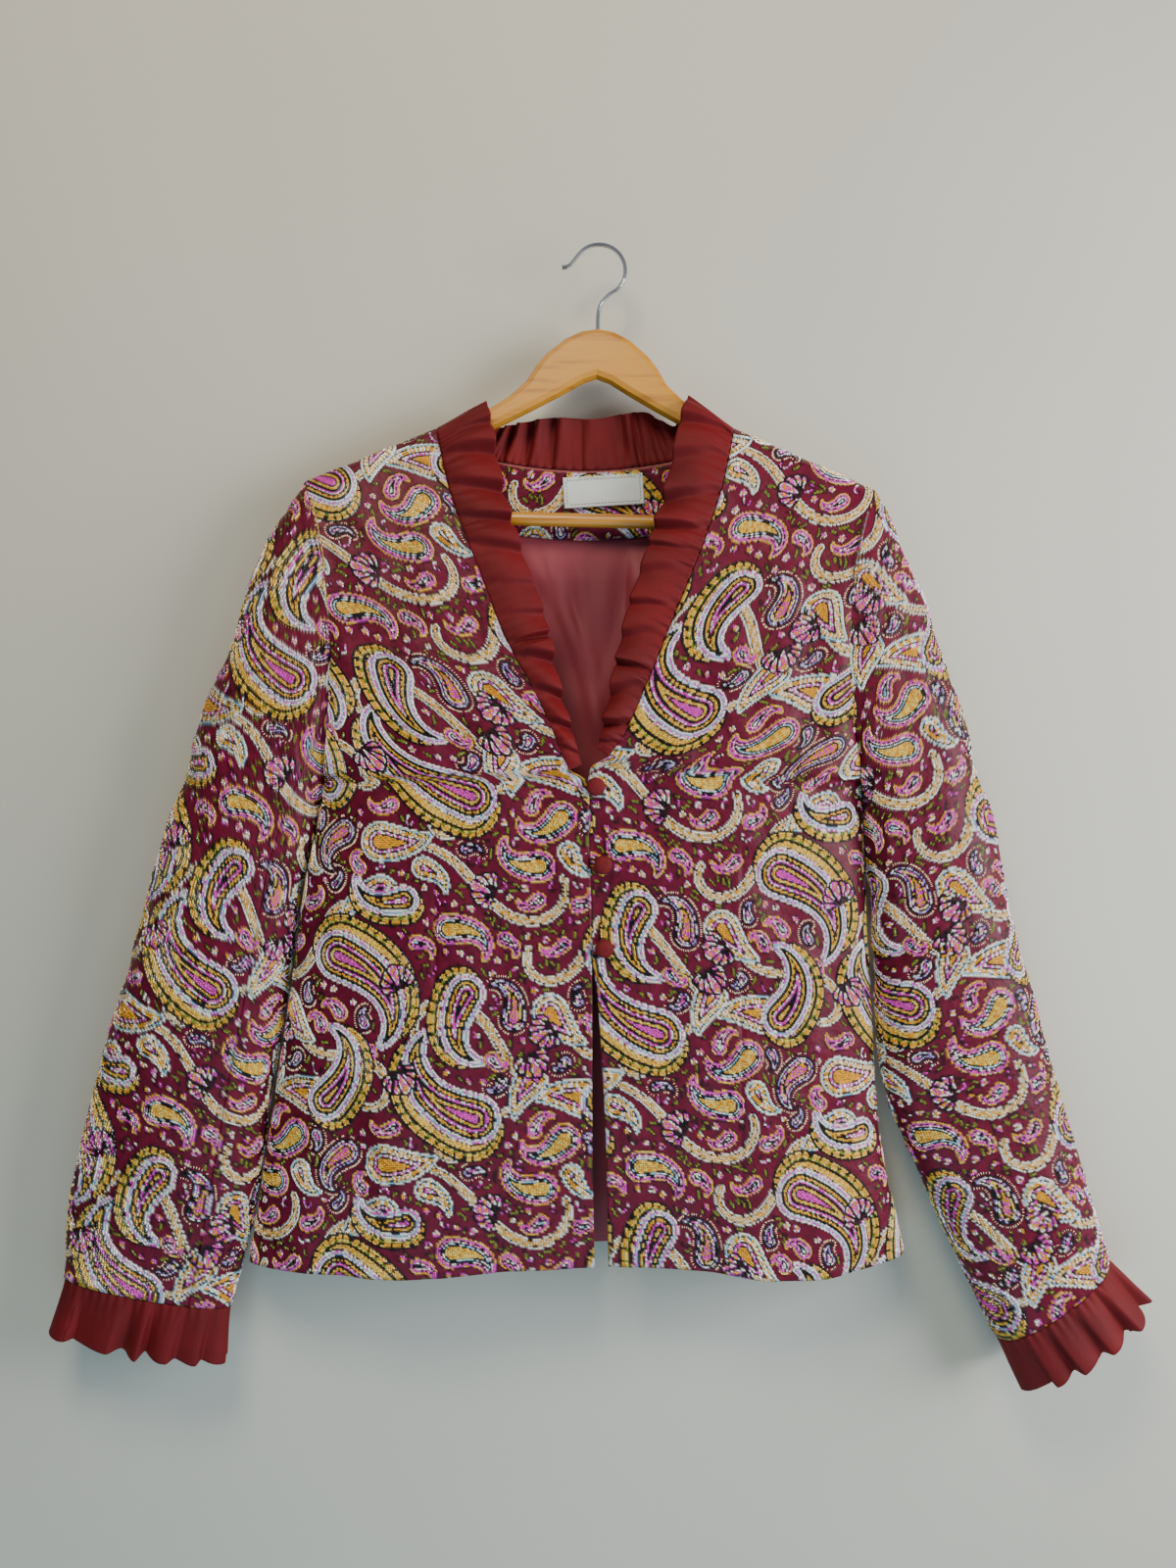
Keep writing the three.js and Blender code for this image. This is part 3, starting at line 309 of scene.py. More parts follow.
def shell(name: str, sheet: Sheet, near: Array, far: float, step: int = 1) -> bpy.types.Object:
    """A closed wall on a sheet: a fine outer skin, a coarser inner one, and the edges between them.

    Args:
        name: the object's name.
        sheet: the cloth's grid.
        near: depth of the outer skin inside the sheet, one value or one for each point.
        far: depth of the inner skin.
        step: how many outer cells one inner cell spans.

    Returns:
        The new object; faces of the inner skin take its second material.
    """
    outer = sheet.moved(near)
    rows, cols = outer.shape[:2]
    pick_r = coarse_pick(rows, step)
    pick_c = np.arange(0, cols, step) if sheet.closed else coarse_pick(cols, step)
    inner = sheet.moved(far)[np.ix_(pick_r, pick_c)]
    m, n = inner.shape[:2]
    base = rows * cols
    turn = np.cross(outer[1, 0] - outer[0, 0], outer[0, 1] - outer[0, 0])
    out_flip = bool(np.dot(turn, sheet.normals[0, 0]) > 0)
    quads = np.concatenate([
        grid_faces(rows, cols, 0, sheet.closed, out_flip),
        grid_faces(m, n, base, sheet.closed, not out_flip),
    ])
    o = np.arange(base).reshape(rows, cols)
    i = np.arange(base, base + m * n).reshape(m, n)
    if sheet.closed:
        o_ring = np.concatenate([o, o[:, :1]], axis=1)
        i_ring = np.concatenate([i, i[:, :1]], axis=1)
        ring_pick = np.append(pick_c, cols)
        edges = [(o_ring[0], i_ring[0], ring_pick, False), (o_ring[-1], i_ring[-1], ring_pick, True)]
    else:
        edges = [
            (o[0], i[0], pick_c, False), (o[-1], i[-1], pick_c, True),
            (o[:, 0], i[:, 0], pick_r, True), (o[:, -1], i[:, -1], pick_r, False),
        ]
    triangles = []
    for fine, coarse, picks, flip in edges:
        strip = stitch(fine, coarse, picks)
        triangles.append(strip[:, ::-1] if flip != out_flip else strip)
    vertices = np.concatenate([outer.reshape(-1, 3), inner.reshape(-1, 3)])
    return make_mesh(name, vertices, quads, np.concatenate(triangles), base)


def srgb(text: str) -> tuple[float, float, float]:
    """A colour written as six hexadecimal digits, in linear light."""
    parts = [int(text[i:i + 2], 16) / 255 for i in (0, 2, 4)]
    return tuple(p / 12.92 if p <= 0.04045 else ((p + 0.055) / 1.055) ** 2.4 for p in parts)


class Motif(Enum):
    """What a place on the cloth belongs to."""

    GROUND = 0
    GREAT_DROP = 1
    TULIP = 2
    PETAL = 3
    STEM = 4
    DARK_DROP = 5
    LEAF = 6
    CURL = 7
    FLOWER = 8
    ROSE_DROP = 9
    CROWN = 10


ROW = 1.0
# Width of the dark plum rim round each motif: partly an outline, partly painted shade where the ground meets
# the raised thread.
OUTLINE_AND_SHADE_RIM = 0.8
# Half: the padding's share of the relief, and the brightness of the thread colour painted under the stitches
# as painted shade in the gaps between them.
UNDERLAY_AND_GAP_SHADE = 0.5


@dataclass(frozen=True)
class Band:
    """One ring of thread inside a motif's edge.

    Attributes:
        row: how many rows of stitches lie outside it.
        colour: its thread.
        other: a second thread that takes turns with the first along the edge.
        period, share: length of one turn, and the second thread's share of it.
    """

    row: int
    colour: str
    other: str = ""
    period: float = 3.0
    share: float = 0.5


@dataclass(frozen=True)
class Threads:
    """Thread colours, and the rings of each motif from its edge inwards.

    Attributes:
        colours: each thread's colour in linear light.
        rings: each motif's bands, outermost first.
    """

    colours: dict = field(default_factory=lambda: {
        "cream": srgb("f2dfba"), "white": srgb("fffaf0"), "mustard": srgb("e9a528"), "straw": srgb("f2cf66"),
        "pink": srgb("e048bd"), "rose": srgb("f08cc0"), "lilac": srgb("b79be0"), "blue": srgb("8fc6e0"),
        "black": srgb("0d0810"), "plum": srgb("2e0010"), "olive": srgb("7f8a2a"), "ground": srgb("5a0422"),
        "sand": srgb("cdb283"),
    })
    rings: dict = field(default_factory=lambda: {
        Motif.GREAT_DROP: (
            Band(0, "white"), Band(1, "pink", "white", 3.4, 0.35), Band(2, "lilac", "blue", 6.8, 0.5),
            Band(3, "white"), Band(4, "black"), Band(6, "straw", "mustard", 5.2, 0.45),
            Band(7, "mustard", "black", 5.2, 0.4), Band(8, "black"), Band(9, "white", "pink", 3.0, 0.4),
            Band(10, "pink"), Band(11, "black"), Band(13, "straw", "mustard", 6.4, 0.4),
            Band(15, "black"), Band(16, "pink"),
        ),
        Motif.CROWN: (
            Band(0, "black"), Band(1, "straw", "black", 6.4, 0.22), Band(2, "mustard", "black", 6.4, 0.3),
            Band(4, "straw", "olive", 6.4, 0.4), Band(6, "black"), Band(8, "straw", "mustard", 4.0, 0.4),
        ),
        Motif.TULIP: (
            Band(0, "white"), Band(1, "blue", "white", 2.8, 0.3), Band(2, "black", "straw", 2.9, 0.4),
            Band(3, "mustard", "white", 2.9, 0.45), Band(6, "black"), Band(7, "pink", "white", 2.4, 0.45),
            Band(9, "black"), Band(10, "mustard"),
        ),
        Motif.PETAL: (
            Band(0, "black"), Band(1, "white", "pink", 8.0, 0.4), Band(2, "pink", "mustard", 6.4, 0.4),
        ),
        Motif.STEM: (
            Band(0, "white"), Band(1, "sand", "plum", 3.2, 0.3), Band(2, "cream", "mustard", 8.0, 0.45),
        ),
        Motif.DARK_DROP: (
            Band(0, "black"), Band(1, "lilac", "white", 2.6, 0.4), Band(2, "black"),
            Band(3, "pink", "white", 3.0, 0.4), Band(4, "straw", "black", 3.0, 0.3), Band(5, "black"),
            Band(6, "mustard", "pink", 3.2, 0.45),
        ),
        Motif.ROSE_DROP: (
            Band(0, "straw", "mustard", 2.6, 0.4), Band(1, "pink"), Band(2, "black", "pink", 4.6, 0.4),
            Band(3, "rose", "white", 4.6, 0.35), Band(4, "black"), Band(5, "blue", "white", 2.4, 0.4),
            Band(6, "black"), Band(7, "straw", "mustard", 5.0, 0.4),
        ),
        Motif.LEAF: (Band(0, "olive"),),
        Motif.CURL: (Band(0, "pink", "white", 6.0, 0.3),),
        Motif.FLOWER: (Band(0, "white", "pink", 0.9, 0.45), Band(1, "mustard"), Band(2, "black")),
    })

    def paint(self, depth: Array, along: Array, kind: Array, plain: str = "ground") -> Array:
        """The colour at each place.

        Args:
            depth: distance inside the motif's edge.
            along: length along that edge.
            kind: the motif's number.
            plain: colour of the ground.

        Returns:
            Linear colours, one more axis than depth.
        """
        out = np.broadcast_to(self.colours[plain], (*depth.shape, 3)).copy()
        for motif, bands in self.rings.items():
            of_kind = kind == motif.value
            for band in bands:
                here = of_kind & (depth >= band.row * ROW)
                out[here] = self.colours[band.colour]
                if band.other:
                    turn = (along / band.period) % 1.0 < band.share
                    out[here & turn] = self.colours[band.other]
        return out


FRINGED = (Motif.DARK_DROP,)

# Start x and y, length, heading in degrees, bend, and the radius of the tulip at the end
STEMS = (
    (18, 8, 150, 70, 2.2, 14.5), (112, 126, 150, -108, 2.3, 14.0), (196, 60, 118, 116, -2.5, 13.0),
    (74, 176, 112, 12, -2.6, 13.0), (142, 212, 92, 162, 2.7, 11.5),
)
# Start x and y, radius, length, heading in degrees and curl
GREAT_DROPS = (
    (52, 66, 23.0, 98, 22, 2.5), (156, 184, 23.0, 98, 200, 2.5), (150, 92, 17.0, 70, 118, -2.6),
    (44, 172, 17.5, 72, 312, -2.5), (104, 24, 13.0, 54, 168, 2.5),
)
# x, y and heading in degrees
FANS = ((100, 88, 245), (196, 138, 65), (8, 118, 150), (98, 150, 60), (170, 18, 200))
# Motif, tries, radii, lengths, curl and gap; large ones first
SCATTERED = (
    (Motif.ROSE_DROP, 700, (10.5, 11.5), (40, 46), 2.6, 1.8),
    (Motif.DARK_DROP, 700, (8.0, 9.0), (38, 44), 2.4, 1.8),
    (Motif.TULIP, 500, (6.5, 8.5), (24, 34), 1.6, 1.2),
    (Motif.ROSE_DROP, 900, (4.6, 5.8), (19, 25), 2.6, 1.2),
    (Motif.STEM, 500, (1.5, 1.9), (26, 40), 4.4, 1.6),
    (Motif.DARK_DROP, 700, (3.2, 4.2), (13, 17), 2.2, 0.9),
    (Motif.FLOWER, 700, (2.4, 3.1), (3, 3), 0.0, 2.0),
    (Motif.CURL, 700, (0.75, 0.95), (10, 16), 4.2, 1.5),
    (Motif.LEAF, 3600, (0.8, 1.15), (6, 11), 1.4, 0.9),
)


@dataclass
class PaisleyTile:
    """One repeat of the embroidery, worked out as fields over a flat grid.

    Each motif is a chain of circles along a bent line, so the distance to its edge is the least of
    the distances to those circles. A later motif covers an earlier one. The fields are the distance,
    negative inside; the length along the edge; the motif's number; and the distance's slope.

    Attributes:
        width, height: size of the repeat.
        step: distance between the places that are worked out.
        seed: picks the small motifs' places.
    """

    width: float = 204.0
    height: float = 236.0
    step: float = 0.5
    seed: int = 5
    distance: Array = field(init=False)
    along: Array = field(init=False)
    kind: Array = field(init=False)
    slope: Array = field(init=False)

    def __post_init__(self) -> None:
        """Lays the motifs out, large ones first, then fills the ground between them."""
        shape = (round(self.height / self.step), round(self.width / self.step))
        self.distance = np.full(shape, 30.0)
        self.along = np.zeros(shape)
        self.kind = np.zeros(shape, int)
        self._stems()
        self._great()
        self._fans()
        rng = np.random.default_rng(self.seed)
        for row in SCATTERED:
            self._scatter(rng, *row)
        pad = np.pad(self.distance, 1, mode="wrap")
        self.slope = np.stack([pad[1:-1, 2:] - pad[1:-1, :-2], pad[2:, 1:-1] - pad[:-2, 1:-1]], -1)
        self.slope /= np.maximum(np.linalg.norm(self.slope, axis=-1, keepdims=True), 1e-6)

    def _window(self, middle: Array, reach: float) -> tuple[Array, Array, tuple]:
        """Places round a point with their wrapped indices, no more than one repeat."""
        index = []
        for size, centre in zip(self.distance.shape, middle[::-1]):
            n = min(int(reach / self.step) + 1, size // 2 - 1)
            index.append(round(centre / self.step) + np.arange(-n, n + 1))
        px, py = np.meshgrid(index[1] * self.step, index[0] * self.step)
        rows, cols = self.distance.shape
        return px, py, np.ix_(index[0] % rows, index[1] % cols)

    def _stamp(self, line: Array, radii: Array, motif: Motif) -> None:
        """Adds a chain of circles, over what is there.

        Args:
            line: the chain's centres.
            radii: their radii.
            motif: what it is.
        """
        middle = (line.min(axis=0) + line.max(axis=0)) / 2
        px, py, where = self._window(middle, np.abs(line - middle).max() + radii.max() + 16)
        best = np.full(px.shape, 99.0)
        along = np.zeros(px.shape)
        heading = np.gradient(line, axis=0)
        heading /= np.maximum(np.linalg.norm(heading, axis=1, keepdims=True), 1e-9)
        length = run_length(line)
        for k, (centre, radius) in enumerate(zip(line, radii)):
            dx, dy = px - centre[0], py - centre[1]
            distance = np.hypot(dx, dy) - radius
            nearer = distance < best
            cross = heading[k, 0] * dy - heading[k, 1] * dx
            at = np.full(px.shape, length[k])
            if k == 0:
                forward = heading[0, 0] * dx + heading[0, 1] * dy
                at = -radius * np.maximum(np.arctan2(np.abs(cross), forward) - math.pi / 2, 0)
            along = np.where(nearer, np.where(cross > 0, at, -at), along)
            best = np.minimum(best, distance)
        if motif is Motif.FLOWER:
            turn = np.arctan2(py - line[0, 1], px - line[0, 0])
            best = best + 0.55 * (1 - np.cos(5 * turn))
            along = turn * 0.7
        old = self.distance[where]
        # A later motif's dark rim, partly outline and partly painted shade, is laid over the motifs already
        # there.
        covers = (best < OUTLINE_AND_SHADE_RIM) | (best < old)
        self.distance[where] = np.where(covers, best, old)
        self.along[where] = np.where(covers, along, self.along[where])
        self.kind[where] = np.where(covers, motif.value, self.kind[where])

    @staticmethod
    def _bent(x: float, y: float, length: float, angle: float, bend: Callable) -> Array:
        """A line that starts at a point and turns as it goes.

        Args:
            x, y: where it starts.
            length: its length.
            angle: its first heading, in degrees.
            bend: the turn in radians at each fraction of its length.

        Returns:
            Points about 1.3 mm apart.
        """
        s = np.linspace(0, 1, max(int(length / 1.3), 4))
        turn = math.radians(angle) + bend(s)
        pace = length / (len(s) - 1)
        return np.stack([x + np.concatenate([[0], np.cumsum(np.cos(turn[:-1]))]) * pace,
                         y + np.concatenate([[0], np.cumsum(np.sin(turn[:-1]))]) * pace], -1)

    def _shape(self, motif: Motif, x: float, y: float, radius: float, length: float, angle: float,
               curl: float) -> tuple[Array, Array]:
        """Centres and radii of a motif: a drop narrows to a hooked tip, a leaf to both ends."""
        line = self._bent(x, y, length, angle, lambda s: curl * s**1.8)
        s = np.linspace(0, 1, len(line))
        if motif is Motif.LEAF:
            return line, radius * np.sin(math.pi * (0.08 + 0.88 * s))
        if motif is Motif.CURL:
            return line, radius * (1 - 0.45 * s)
        if motif is Motif.STEM:
            return line, radius * (1.15 - 0.5 * s)
        if motif is Motif.FLOWER:
            return line[0] + np.array([[0.0, 0.0], [0.01, 0.0]]), np.array([radius, radius])
        return line, radius * (1 - s**1.3) ** 0.8 + 0.6

    def _put(self, motif: Motif, *measures: float) -> None:
        """Adds one motif; its measures are those that _shape takes."""
        self._stamp(*self._shape(motif, *measures), motif)

    def _stems(self) -> None:
        """Adds the wide winding stems; a stem's end carries a tulip-shaped drop."""
        for x, y, length, angle, bend, radius in STEMS:
            line = self._bent(x, y, length, angle, lambda s: bend * np.sin(2.7 * s) + 0.45 * bend * s)
            s = np.linspace(0, 1, len(line))
            self._stamp(line, 3.9 * (0.62 + 0.38 * np.sin(math.pi * (0.1 + 0.8 * s))), Motif.STEM)
            end, before = line[-1], line[-4]
            angle_back = math.degrees(math.atan2(*(end - before)[::-1]))
            start = end + (end - before) / np.linalg.norm(end - before) * radius * 1.9
            self._put(Motif.TULIP, *start, radius, radius * 2.8, angle_back + 180, -0.7)

    def _great(self) -> None:
        """Adds the great drops."""
        for x, y, radius, length, angle, curl in GREAT_DROPS:
            out = math.radians(angle - 90 * np.sign(curl))
            crown_x, crown_y = x + 0.34 * radius * math.cos(out), y + 0.34 * radius * math.sin(out)
            self._put(Motif.CROWN, crown_x, crown_y, radius * 1.02, length * 0.98,
                      angle - 4 * np.sign(curl), curl * 0.82)
            self._put(Motif.GREAT_DROP, x, y, radius * 0.8, length, angle, curl)
            tip = self._bent(x, y, length, angle, lambda s: curl * s**1.8)[-1]
            self._put(Motif.ROSE_DROP, *tip, 5.2, 18, angle + 60 * np.sign(curl), curl * 1.5)

    def _fans(self) -> None:
        """Adds fan flowers: seven petals that spread from one point, the middle one longest."""
        for x, y, angle in FANS:
            for k in (0, 6, 1, 5, 2, 4, 3):
                petal = math.radians(angle + (k - 3) * 24)
                reach = 13.5 - abs(k - 3) * 1.2
                self._put(Motif.PETAL, x + reach * math.cos(petal), y + reach * math.sin(petal), 3.7,
                          reach + 1, math.degrees(petal) + 180, 0.25)

    def _scatter(self, rng: np.random.Generator, motif: Motif, tries: int, radii: tuple, lengths: tuple,
                 curl: float, gap: float) -> None:
        """Adds motifs of one kind wherever a random one fits with the gap given."""
        rows, cols = self.distance.shape
        for k in range(tries):
            x, y, angle = rng.uniform(0, self.width), rng.uniform(0, self.height), rng.uniform(0, 360)
            radius, length = rng.uniform(*radii), rng.uniform(*lengths)
            line, sizes = self._shape(motif, x, y, radius, length, angle, curl * rng.choice([-1, 1]))
            i = np.round(line[:, 1] / self.step).astype(int) % rows
            j = np.round(line[:, 0] / self.step).astype(int) % cols
            if np.all(self.distance[i, j] - sizes > gap):
                self._stamp(line, sizes, motif)

    def read(self, u: Array, v: Array) -> tuple[Array, Array, Array, Array]:
        """The fields at places on the cloth.

        Args:
            u, v: the places.

        Returns:
            Distance, length along, kind and slope; the distance is blended, the rest nearest.
        """
        rows, cols = self.distance.shape
        x, y = u / self.step, v / self.step
        i, j = np.floor(y).astype(int), np.floor(x).astype(int)
        fy, fx = y - i, x - j
        i0, j0, i1, j1 = i % rows, j % cols, (i + 1) % rows, (j + 1) % cols
        d = self.distance
        blended = mix(mix(d[i0, j0], d[i0, j1], fx), mix(d[i1, j0], d[i1, j1], fx), fy)
        near = (np.round(y).astype(int) % rows, np.round(x).astype(int) % cols)
        return blended, self.along[near], self.kind[near], self.slope[near]

    def relief(self, u: Array, v: Array) -> Array:
        """How far the padding under the thread stands off the ground, in millimetres."""
        distance, _, kind, _ = self.read(u, v)
        return np.clip(-distance / 2.0, 0, 1) * np.where(kind == Motif.LEAF.value, 0.3, 0.75)


@dataclass
class Stitching:
    """Raised stitches on a piece of cloth, in rows that follow each motif's edge.

    A row lies at every ROW of depth. Each point of the cloth's grid is moved across the motif
    to the nearest row, and the ones that land together are merged.

    Attributes:
        tile, threads: the pattern and its colours.
        length, width, rise: size of a stitch.
        merge: stitches nearer than this are merged.
        fringe_from, fringe_to, fringe_at: where a fringe is sought outside a motif, and its middle.
        sway: how far a stitch may turn, as a slope.
        sizes, shades: least and greatest random size and brightness.
    """

    tile: PaisleyTile
    threads: Threads
    length: float = 2.3
    width: float = 1.06
    rise: float = 0.75
    merge: float = 0.96
    fringe_from: float = 1.1
    fringe_to: float = 3.3
    fringe_at: float = 2.2
    sway: float = 0.12
    sizes: tuple = (0.85, 1.15)
    shades: tuple = (0.74, 1.16)

    def place(self, name: str, sheet: Sheet, u: Array, v: Array, outer: Array) -> bpy.types.Object:
        """Builds the stitches on a sheet.

        Args:
            name: the object's name.
            sheet: the cloth's grid.
            u, v: the pattern's places at its points.
            outer: points of its outer skin.

        Returns:
            The stitches as one object, with a thread colour at each corner.
        """
        distance, along, kind, slope = self.tile.read(u, v)
        near_edge = (distance > self.fringe_from) & (distance < self.fringe_to)
        fringe = near_edge & np.isin(kind, [m.value for m in FRINGED])
        keep = ((distance < -0.1) & (kind > 0)) | fringe
        keep[[0, 1, -2, -1]] = False
        keep[:, [0, 1, -2, -1]] = False
        across, down = self._frames(sheet.points, u, v)
        points, normal = outer[keep], -sheet.normals[keep]
        d, a, k, g = distance[keep], along[keep], kind[keep], slope[keep]
        fringe = fringe[keep]
        row_depth = np.where(fringe, self.fringe_at, (np.round(d / ROW - 0.5) + 0.5) * ROW)
        tangent = np.stack([-g[:, 1], g[:, 0]], -1)
        move = g * (row_depth - d)[:, None]
        key = np.round(np.stack([u[keep] + move[:, 0], v[keep] + move[:, 1]], -1) / self.merge)
        _, chosen = np.unique(key, axis=0, return_index=True)
        across, down = across[keep][chosen], down[keep][chosen]
        to_space = lambda flat: flat[:, :1] * across + flat[:, 1:] * down
        centre = points[chosen] + to_space(move[chosen])
        fringe, normal = fringe[chosen], normal[chosen]
        way = np.where(fringe[:, None], g[chosen], tangent[chosen])
        aside = np.stack([-way[:, 1], way[:, 0]], -1)
        rng = np.random.default_rng(len(chosen))
        sway = rng.normal(0, self.sway, len(chosen))[:, None]
        way, aside = way + aside * sway, aside - way * sway
        size = rng.uniform(*self.sizes, len(chosen))[:, None]
        half = to_space(way) * np.where(fringe[:, None], 1.0, self.length / 2) * size
        wide = to_space(aside) * np.where(fringe[:, None], 0.42, self.width / 2)
        top = normal * self.rise * size
        ends = top * 0.45
        corners = [centre - half + ends, centre + wide, centre + half + ends, centre - wide, centre + top]
        vertices = np.stack(corners, 1)
        colour = self.threads.paint(-row_depth[chosen], a[chosen], k[chosen])
        colour[fringe] = self.threads.colours["cream"]
        colour *= rng.uniform(*self.shades, len(chosen))[:, None]
        base = np.arange(len(chosen))[:, None, None] * 5
        facets = base + np.array([[0, 1, 4], [1, 2, 4], [2, 3, 4], [3, 0, 4]])[None]
        facets = facets.reshape(-1, 3)
        flat = vertices.reshape(-1, 3)
        first = facets[0]
        turn = np.cross(flat[first[1]] - flat[first[0]], flat[first[2]] - flat[first[0]])
        if np.dot(turn, normal[0]) < 0:
            facets = facets[:, ::-1]
        thing = make_mesh(name, flat, np.zeros((0, 4), int), facets)
        thing.data.polygons.foreach_set("use_smooth", np.zeros(len(facets), bool))
        paint_points(thing, np.repeat(colour, 5, axis=0))
        log.info("%s: %d stitches", name, len(chosen))
        return thing

    @staticmethod
    def _frames(points: Array, u: Array, v: Array) -> tuple[Array, Array]:
        """Directions in space of one millimetre across and down the pattern, at each point."""
        p_r, p_c = np.gradient(points, axis=0), np.gradient(points, axis=1)
        u_r, u_c = np.gradient(u, axis=0)[..., None], np.gradient(u, axis=1)[..., None]
        v_r, v_c = np.gradient(v, axis=0)[..., None], np.gradient(v, axis=1)[..., None]
        scale = u_r * v_c - u_c * v_r
        scale = np.where(np.abs(scale) < 1e-6, 1e-6, scale)
        across = (p_r * v_c - p_c * v_r) / scale
        down = (p_c * u_r - p_r * u_c) / scale
        unit = lambda w: w / np.maximum(np.linalg.norm(w, axis=-1, keepdims=True), 1e-9)
        return unit(across), unit(down)


def paint_points(thing: bpy.types.Object, colours: Array) -> None:
    """Writes a colour attribute, thread, for the first vertices; the rest are the last colour."""
    rows = np.ones((len(thing.data.vertices), 4), np.float32)
    rows[:, :3] = colours[-1]
    rows[: len(colours), :3] = colours
    layer = thing.data.color_attributes.new("thread", "FLOAT_COLOR", "POINT")
    layer.data.foreach_set("color", rows.ravel())


class Nodes:
    """Short calls that add and link shader nodes in a tree."""

    def __init__(self, tree: bpy.types.NodeTree) -> None:
        """Keeps the tree that the nodes go in."""
        self.tree = tree

    def add(self, kind: str, **values: object) -> bpy.types.Node:
        """Adds a node; keyword values set its properties."""
        node = self.tree.nodes.new(kind)
        for key, value in values.items():
            setattr(node, key, value)
        return node

    def link(self, source: bpy.types.NodeSocket, target: bpy.types.NodeSocket) -> None:
        """Joins an output to an input."""
        self.tree.links.new(source, target)

    def _feed(self, socket: bpy.types.NodeSocket, value: object) -> None:
        """Sets or links one input."""
        if isinstance(value, bpy.types.NodeSocket):
            self.link(value, socket)
        else:
            socket.default_value = value

    def math(self, operation: str, *inputs: object, clamp: bool = False) -> bpy.types.NodeSocket:
        """A Math node on values or sockets."""
        node = self.add("ShaderNodeMath", operation=operation, use_clamp=clamp)
        for socket, value in zip(node.inputs, inputs):
            self._feed(socket, value)
        return node.outputs[0]

    def mix(self, factor: object, a: object, b: object, blend: str = "MIX") -> bpy.types.NodeSocket:
        """A colour mix of two colours."""
        node = self.add("ShaderNodeMix", data_type="RGBA", blend_type=blend)
        self._feed(node.inputs[0], factor)
        self._feed(node.inputs[6], a)
        self._feed(node.inputs[7], b)
        return node.outputs[2]

    def where(self) -> bpy.types.NodeSocket:
        """Places in the object, in metres."""
        return self.add("ShaderNodeTexCoord").outputs["Object"]

    def tint(self) -> bpy.types.NodeSocket:
        """The thread's colour at the place shaded; on the embroidered cloth it also holds painted shade."""
        return self.add("ShaderNodeVertexColor", layer_name="thread").outputs[0]

    def two_tone(self, shader: bpy.types.Node, factor: bpy.types.NodeSocket, a: tuple, b: tuple) -> None:
        """Mixes two colours by a factor into the shader's base colour."""
        self.link(self.mix(factor, (*a, 1), (*b, 1)), shader.inputs["Base Color"])

    def ramp(self, factor: object, stops: Sequence[tuple[float, tuple]]) -> bpy.types.NodeSocket:
        """A smooth colour ramp with the stops given."""
        node = self.add("ShaderNodeValToRGB")
        node.color_ramp.interpolation = "LINEAR"
        elements = node.color_ramp.elements
        while len(elements) < len(stops):
            elements.new(0.5)
        for element, (place, colour) in zip(elements, stops):
            element.position = place
            element.color = (*colour[:3], 1.0)
        self._feed(node.inputs[0], factor)
        return node.outputs[0]

    def noise(self, vector: Optional[bpy.types.NodeSocket], scale: float, detail: float = 2.0,
              rough: float = 0.5) -> bpy.types.NodeSocket:
        """Noise texture's value."""
        node = self.add("ShaderNodeTexNoise")
        node.inputs["Scale"].default_value = scale
        node.inputs["Detail"].default_value = detail
        node.inputs["Roughness"].default_value = rough
        if vector is not None:
            self.link(vector, node.inputs["Vector"])
        return node.outputs[0]

    def mapped(self, vector: bpy.types.NodeSocket, scale: Sequence[float],
               turn: float = 0.0) -> bpy.types.NodeSocket:
        """Coordinates scaled, and turned about Z."""
        node = self.add("ShaderNodeMapping")
        node.inputs["Scale"].default_value = scale
        node.inputs["Rotation"].default_value = (0, 0, turn)
        self.link(vector, node.inputs["Vector"])
        return node.outputs[0]

    def bump(self, height: bpy.types.NodeSocket, distance: float, strength: float = 1.0,
             normal: Optional[bpy.types.NodeSocket] = None) -> bpy.types.NodeSocket:
        """A bump of a height in millimetres."""
        node = self.add("ShaderNodeBump")
        node.inputs["Strength"].default_value = strength
        node.inputs["Distance"].default_value = distance * MM
        self.link(height, node.inputs["Height"])
        if normal is not None:
            self.link(normal, node.inputs["Normal"])
        return node.outputs[0]


def material(name: str, slot: Slot, **values: object) -> tuple[bpy.types.Material, Nodes, bpy.types.Node]:
    """A new material with a Principled shader.

    Args:
        name: the material's name.
        slot: the record's slot that it dresses.
        values: inputs of the shader, with underscores for spaces.

    Returns:
        The material, its nodes and its shader.
    """
    made = bpy.data.materials.new(name)
    made.use_nodes = True
    made["slot"] = slot.value
    nodes = Nodes(made.node_tree)
    shader = made.node_tree.nodes["Principled BSDF"]
    for key, value in values.items():
        shader.inputs[key.replace("_", " ")].default_value = value
    return made, nodes, shader


@dataclass(frozen=True)
class EmbroideredSatin:
    """Burgundy satin that is tinted as the thread that lies on it, with painted shade in the gaps between
    stitches and a dark rim round each motif that is partly outline and partly painted shade.
    """

    roughness: float = 0.5

    def make(self) -> bpy.types.Material:
        """The finished material: the painted thread colour with its painted shade, with weave, puckers and a
        soft gleam.
        """
        made, n, shader = material("embroidered_satin", Slot.EMBROIDERY, Roughness=self.roughness,
                                   Specular_IOR_Level=0.16, Sheen_Weight=0.02, Sheen_Roughness=0.4)
        where = n.where()
        tint = n.tint()
        shade = n.ramp(n.noise(where, 160.0, 3.0), ((0.3, (0.6, 0.6, 0.62)), (0.7, (1.0, 1.0, 1.0))))
        n.link(n.mix(1.0, tint, shade, "MULTIPLY"), shader.inputs["Base Color"])
        weave = n.noise(n.mapped(where, (2600.0, 2600.0, 500.0)), 1.0, 2.0)
        pucker = n.noise(where, 110.0, 3.0, 0.6)
        n.link(n.bump(weave, 0.12, 0.4, n.bump(pucker, 2.0, 0.5)), shader.inputs["Normal"])
        return made


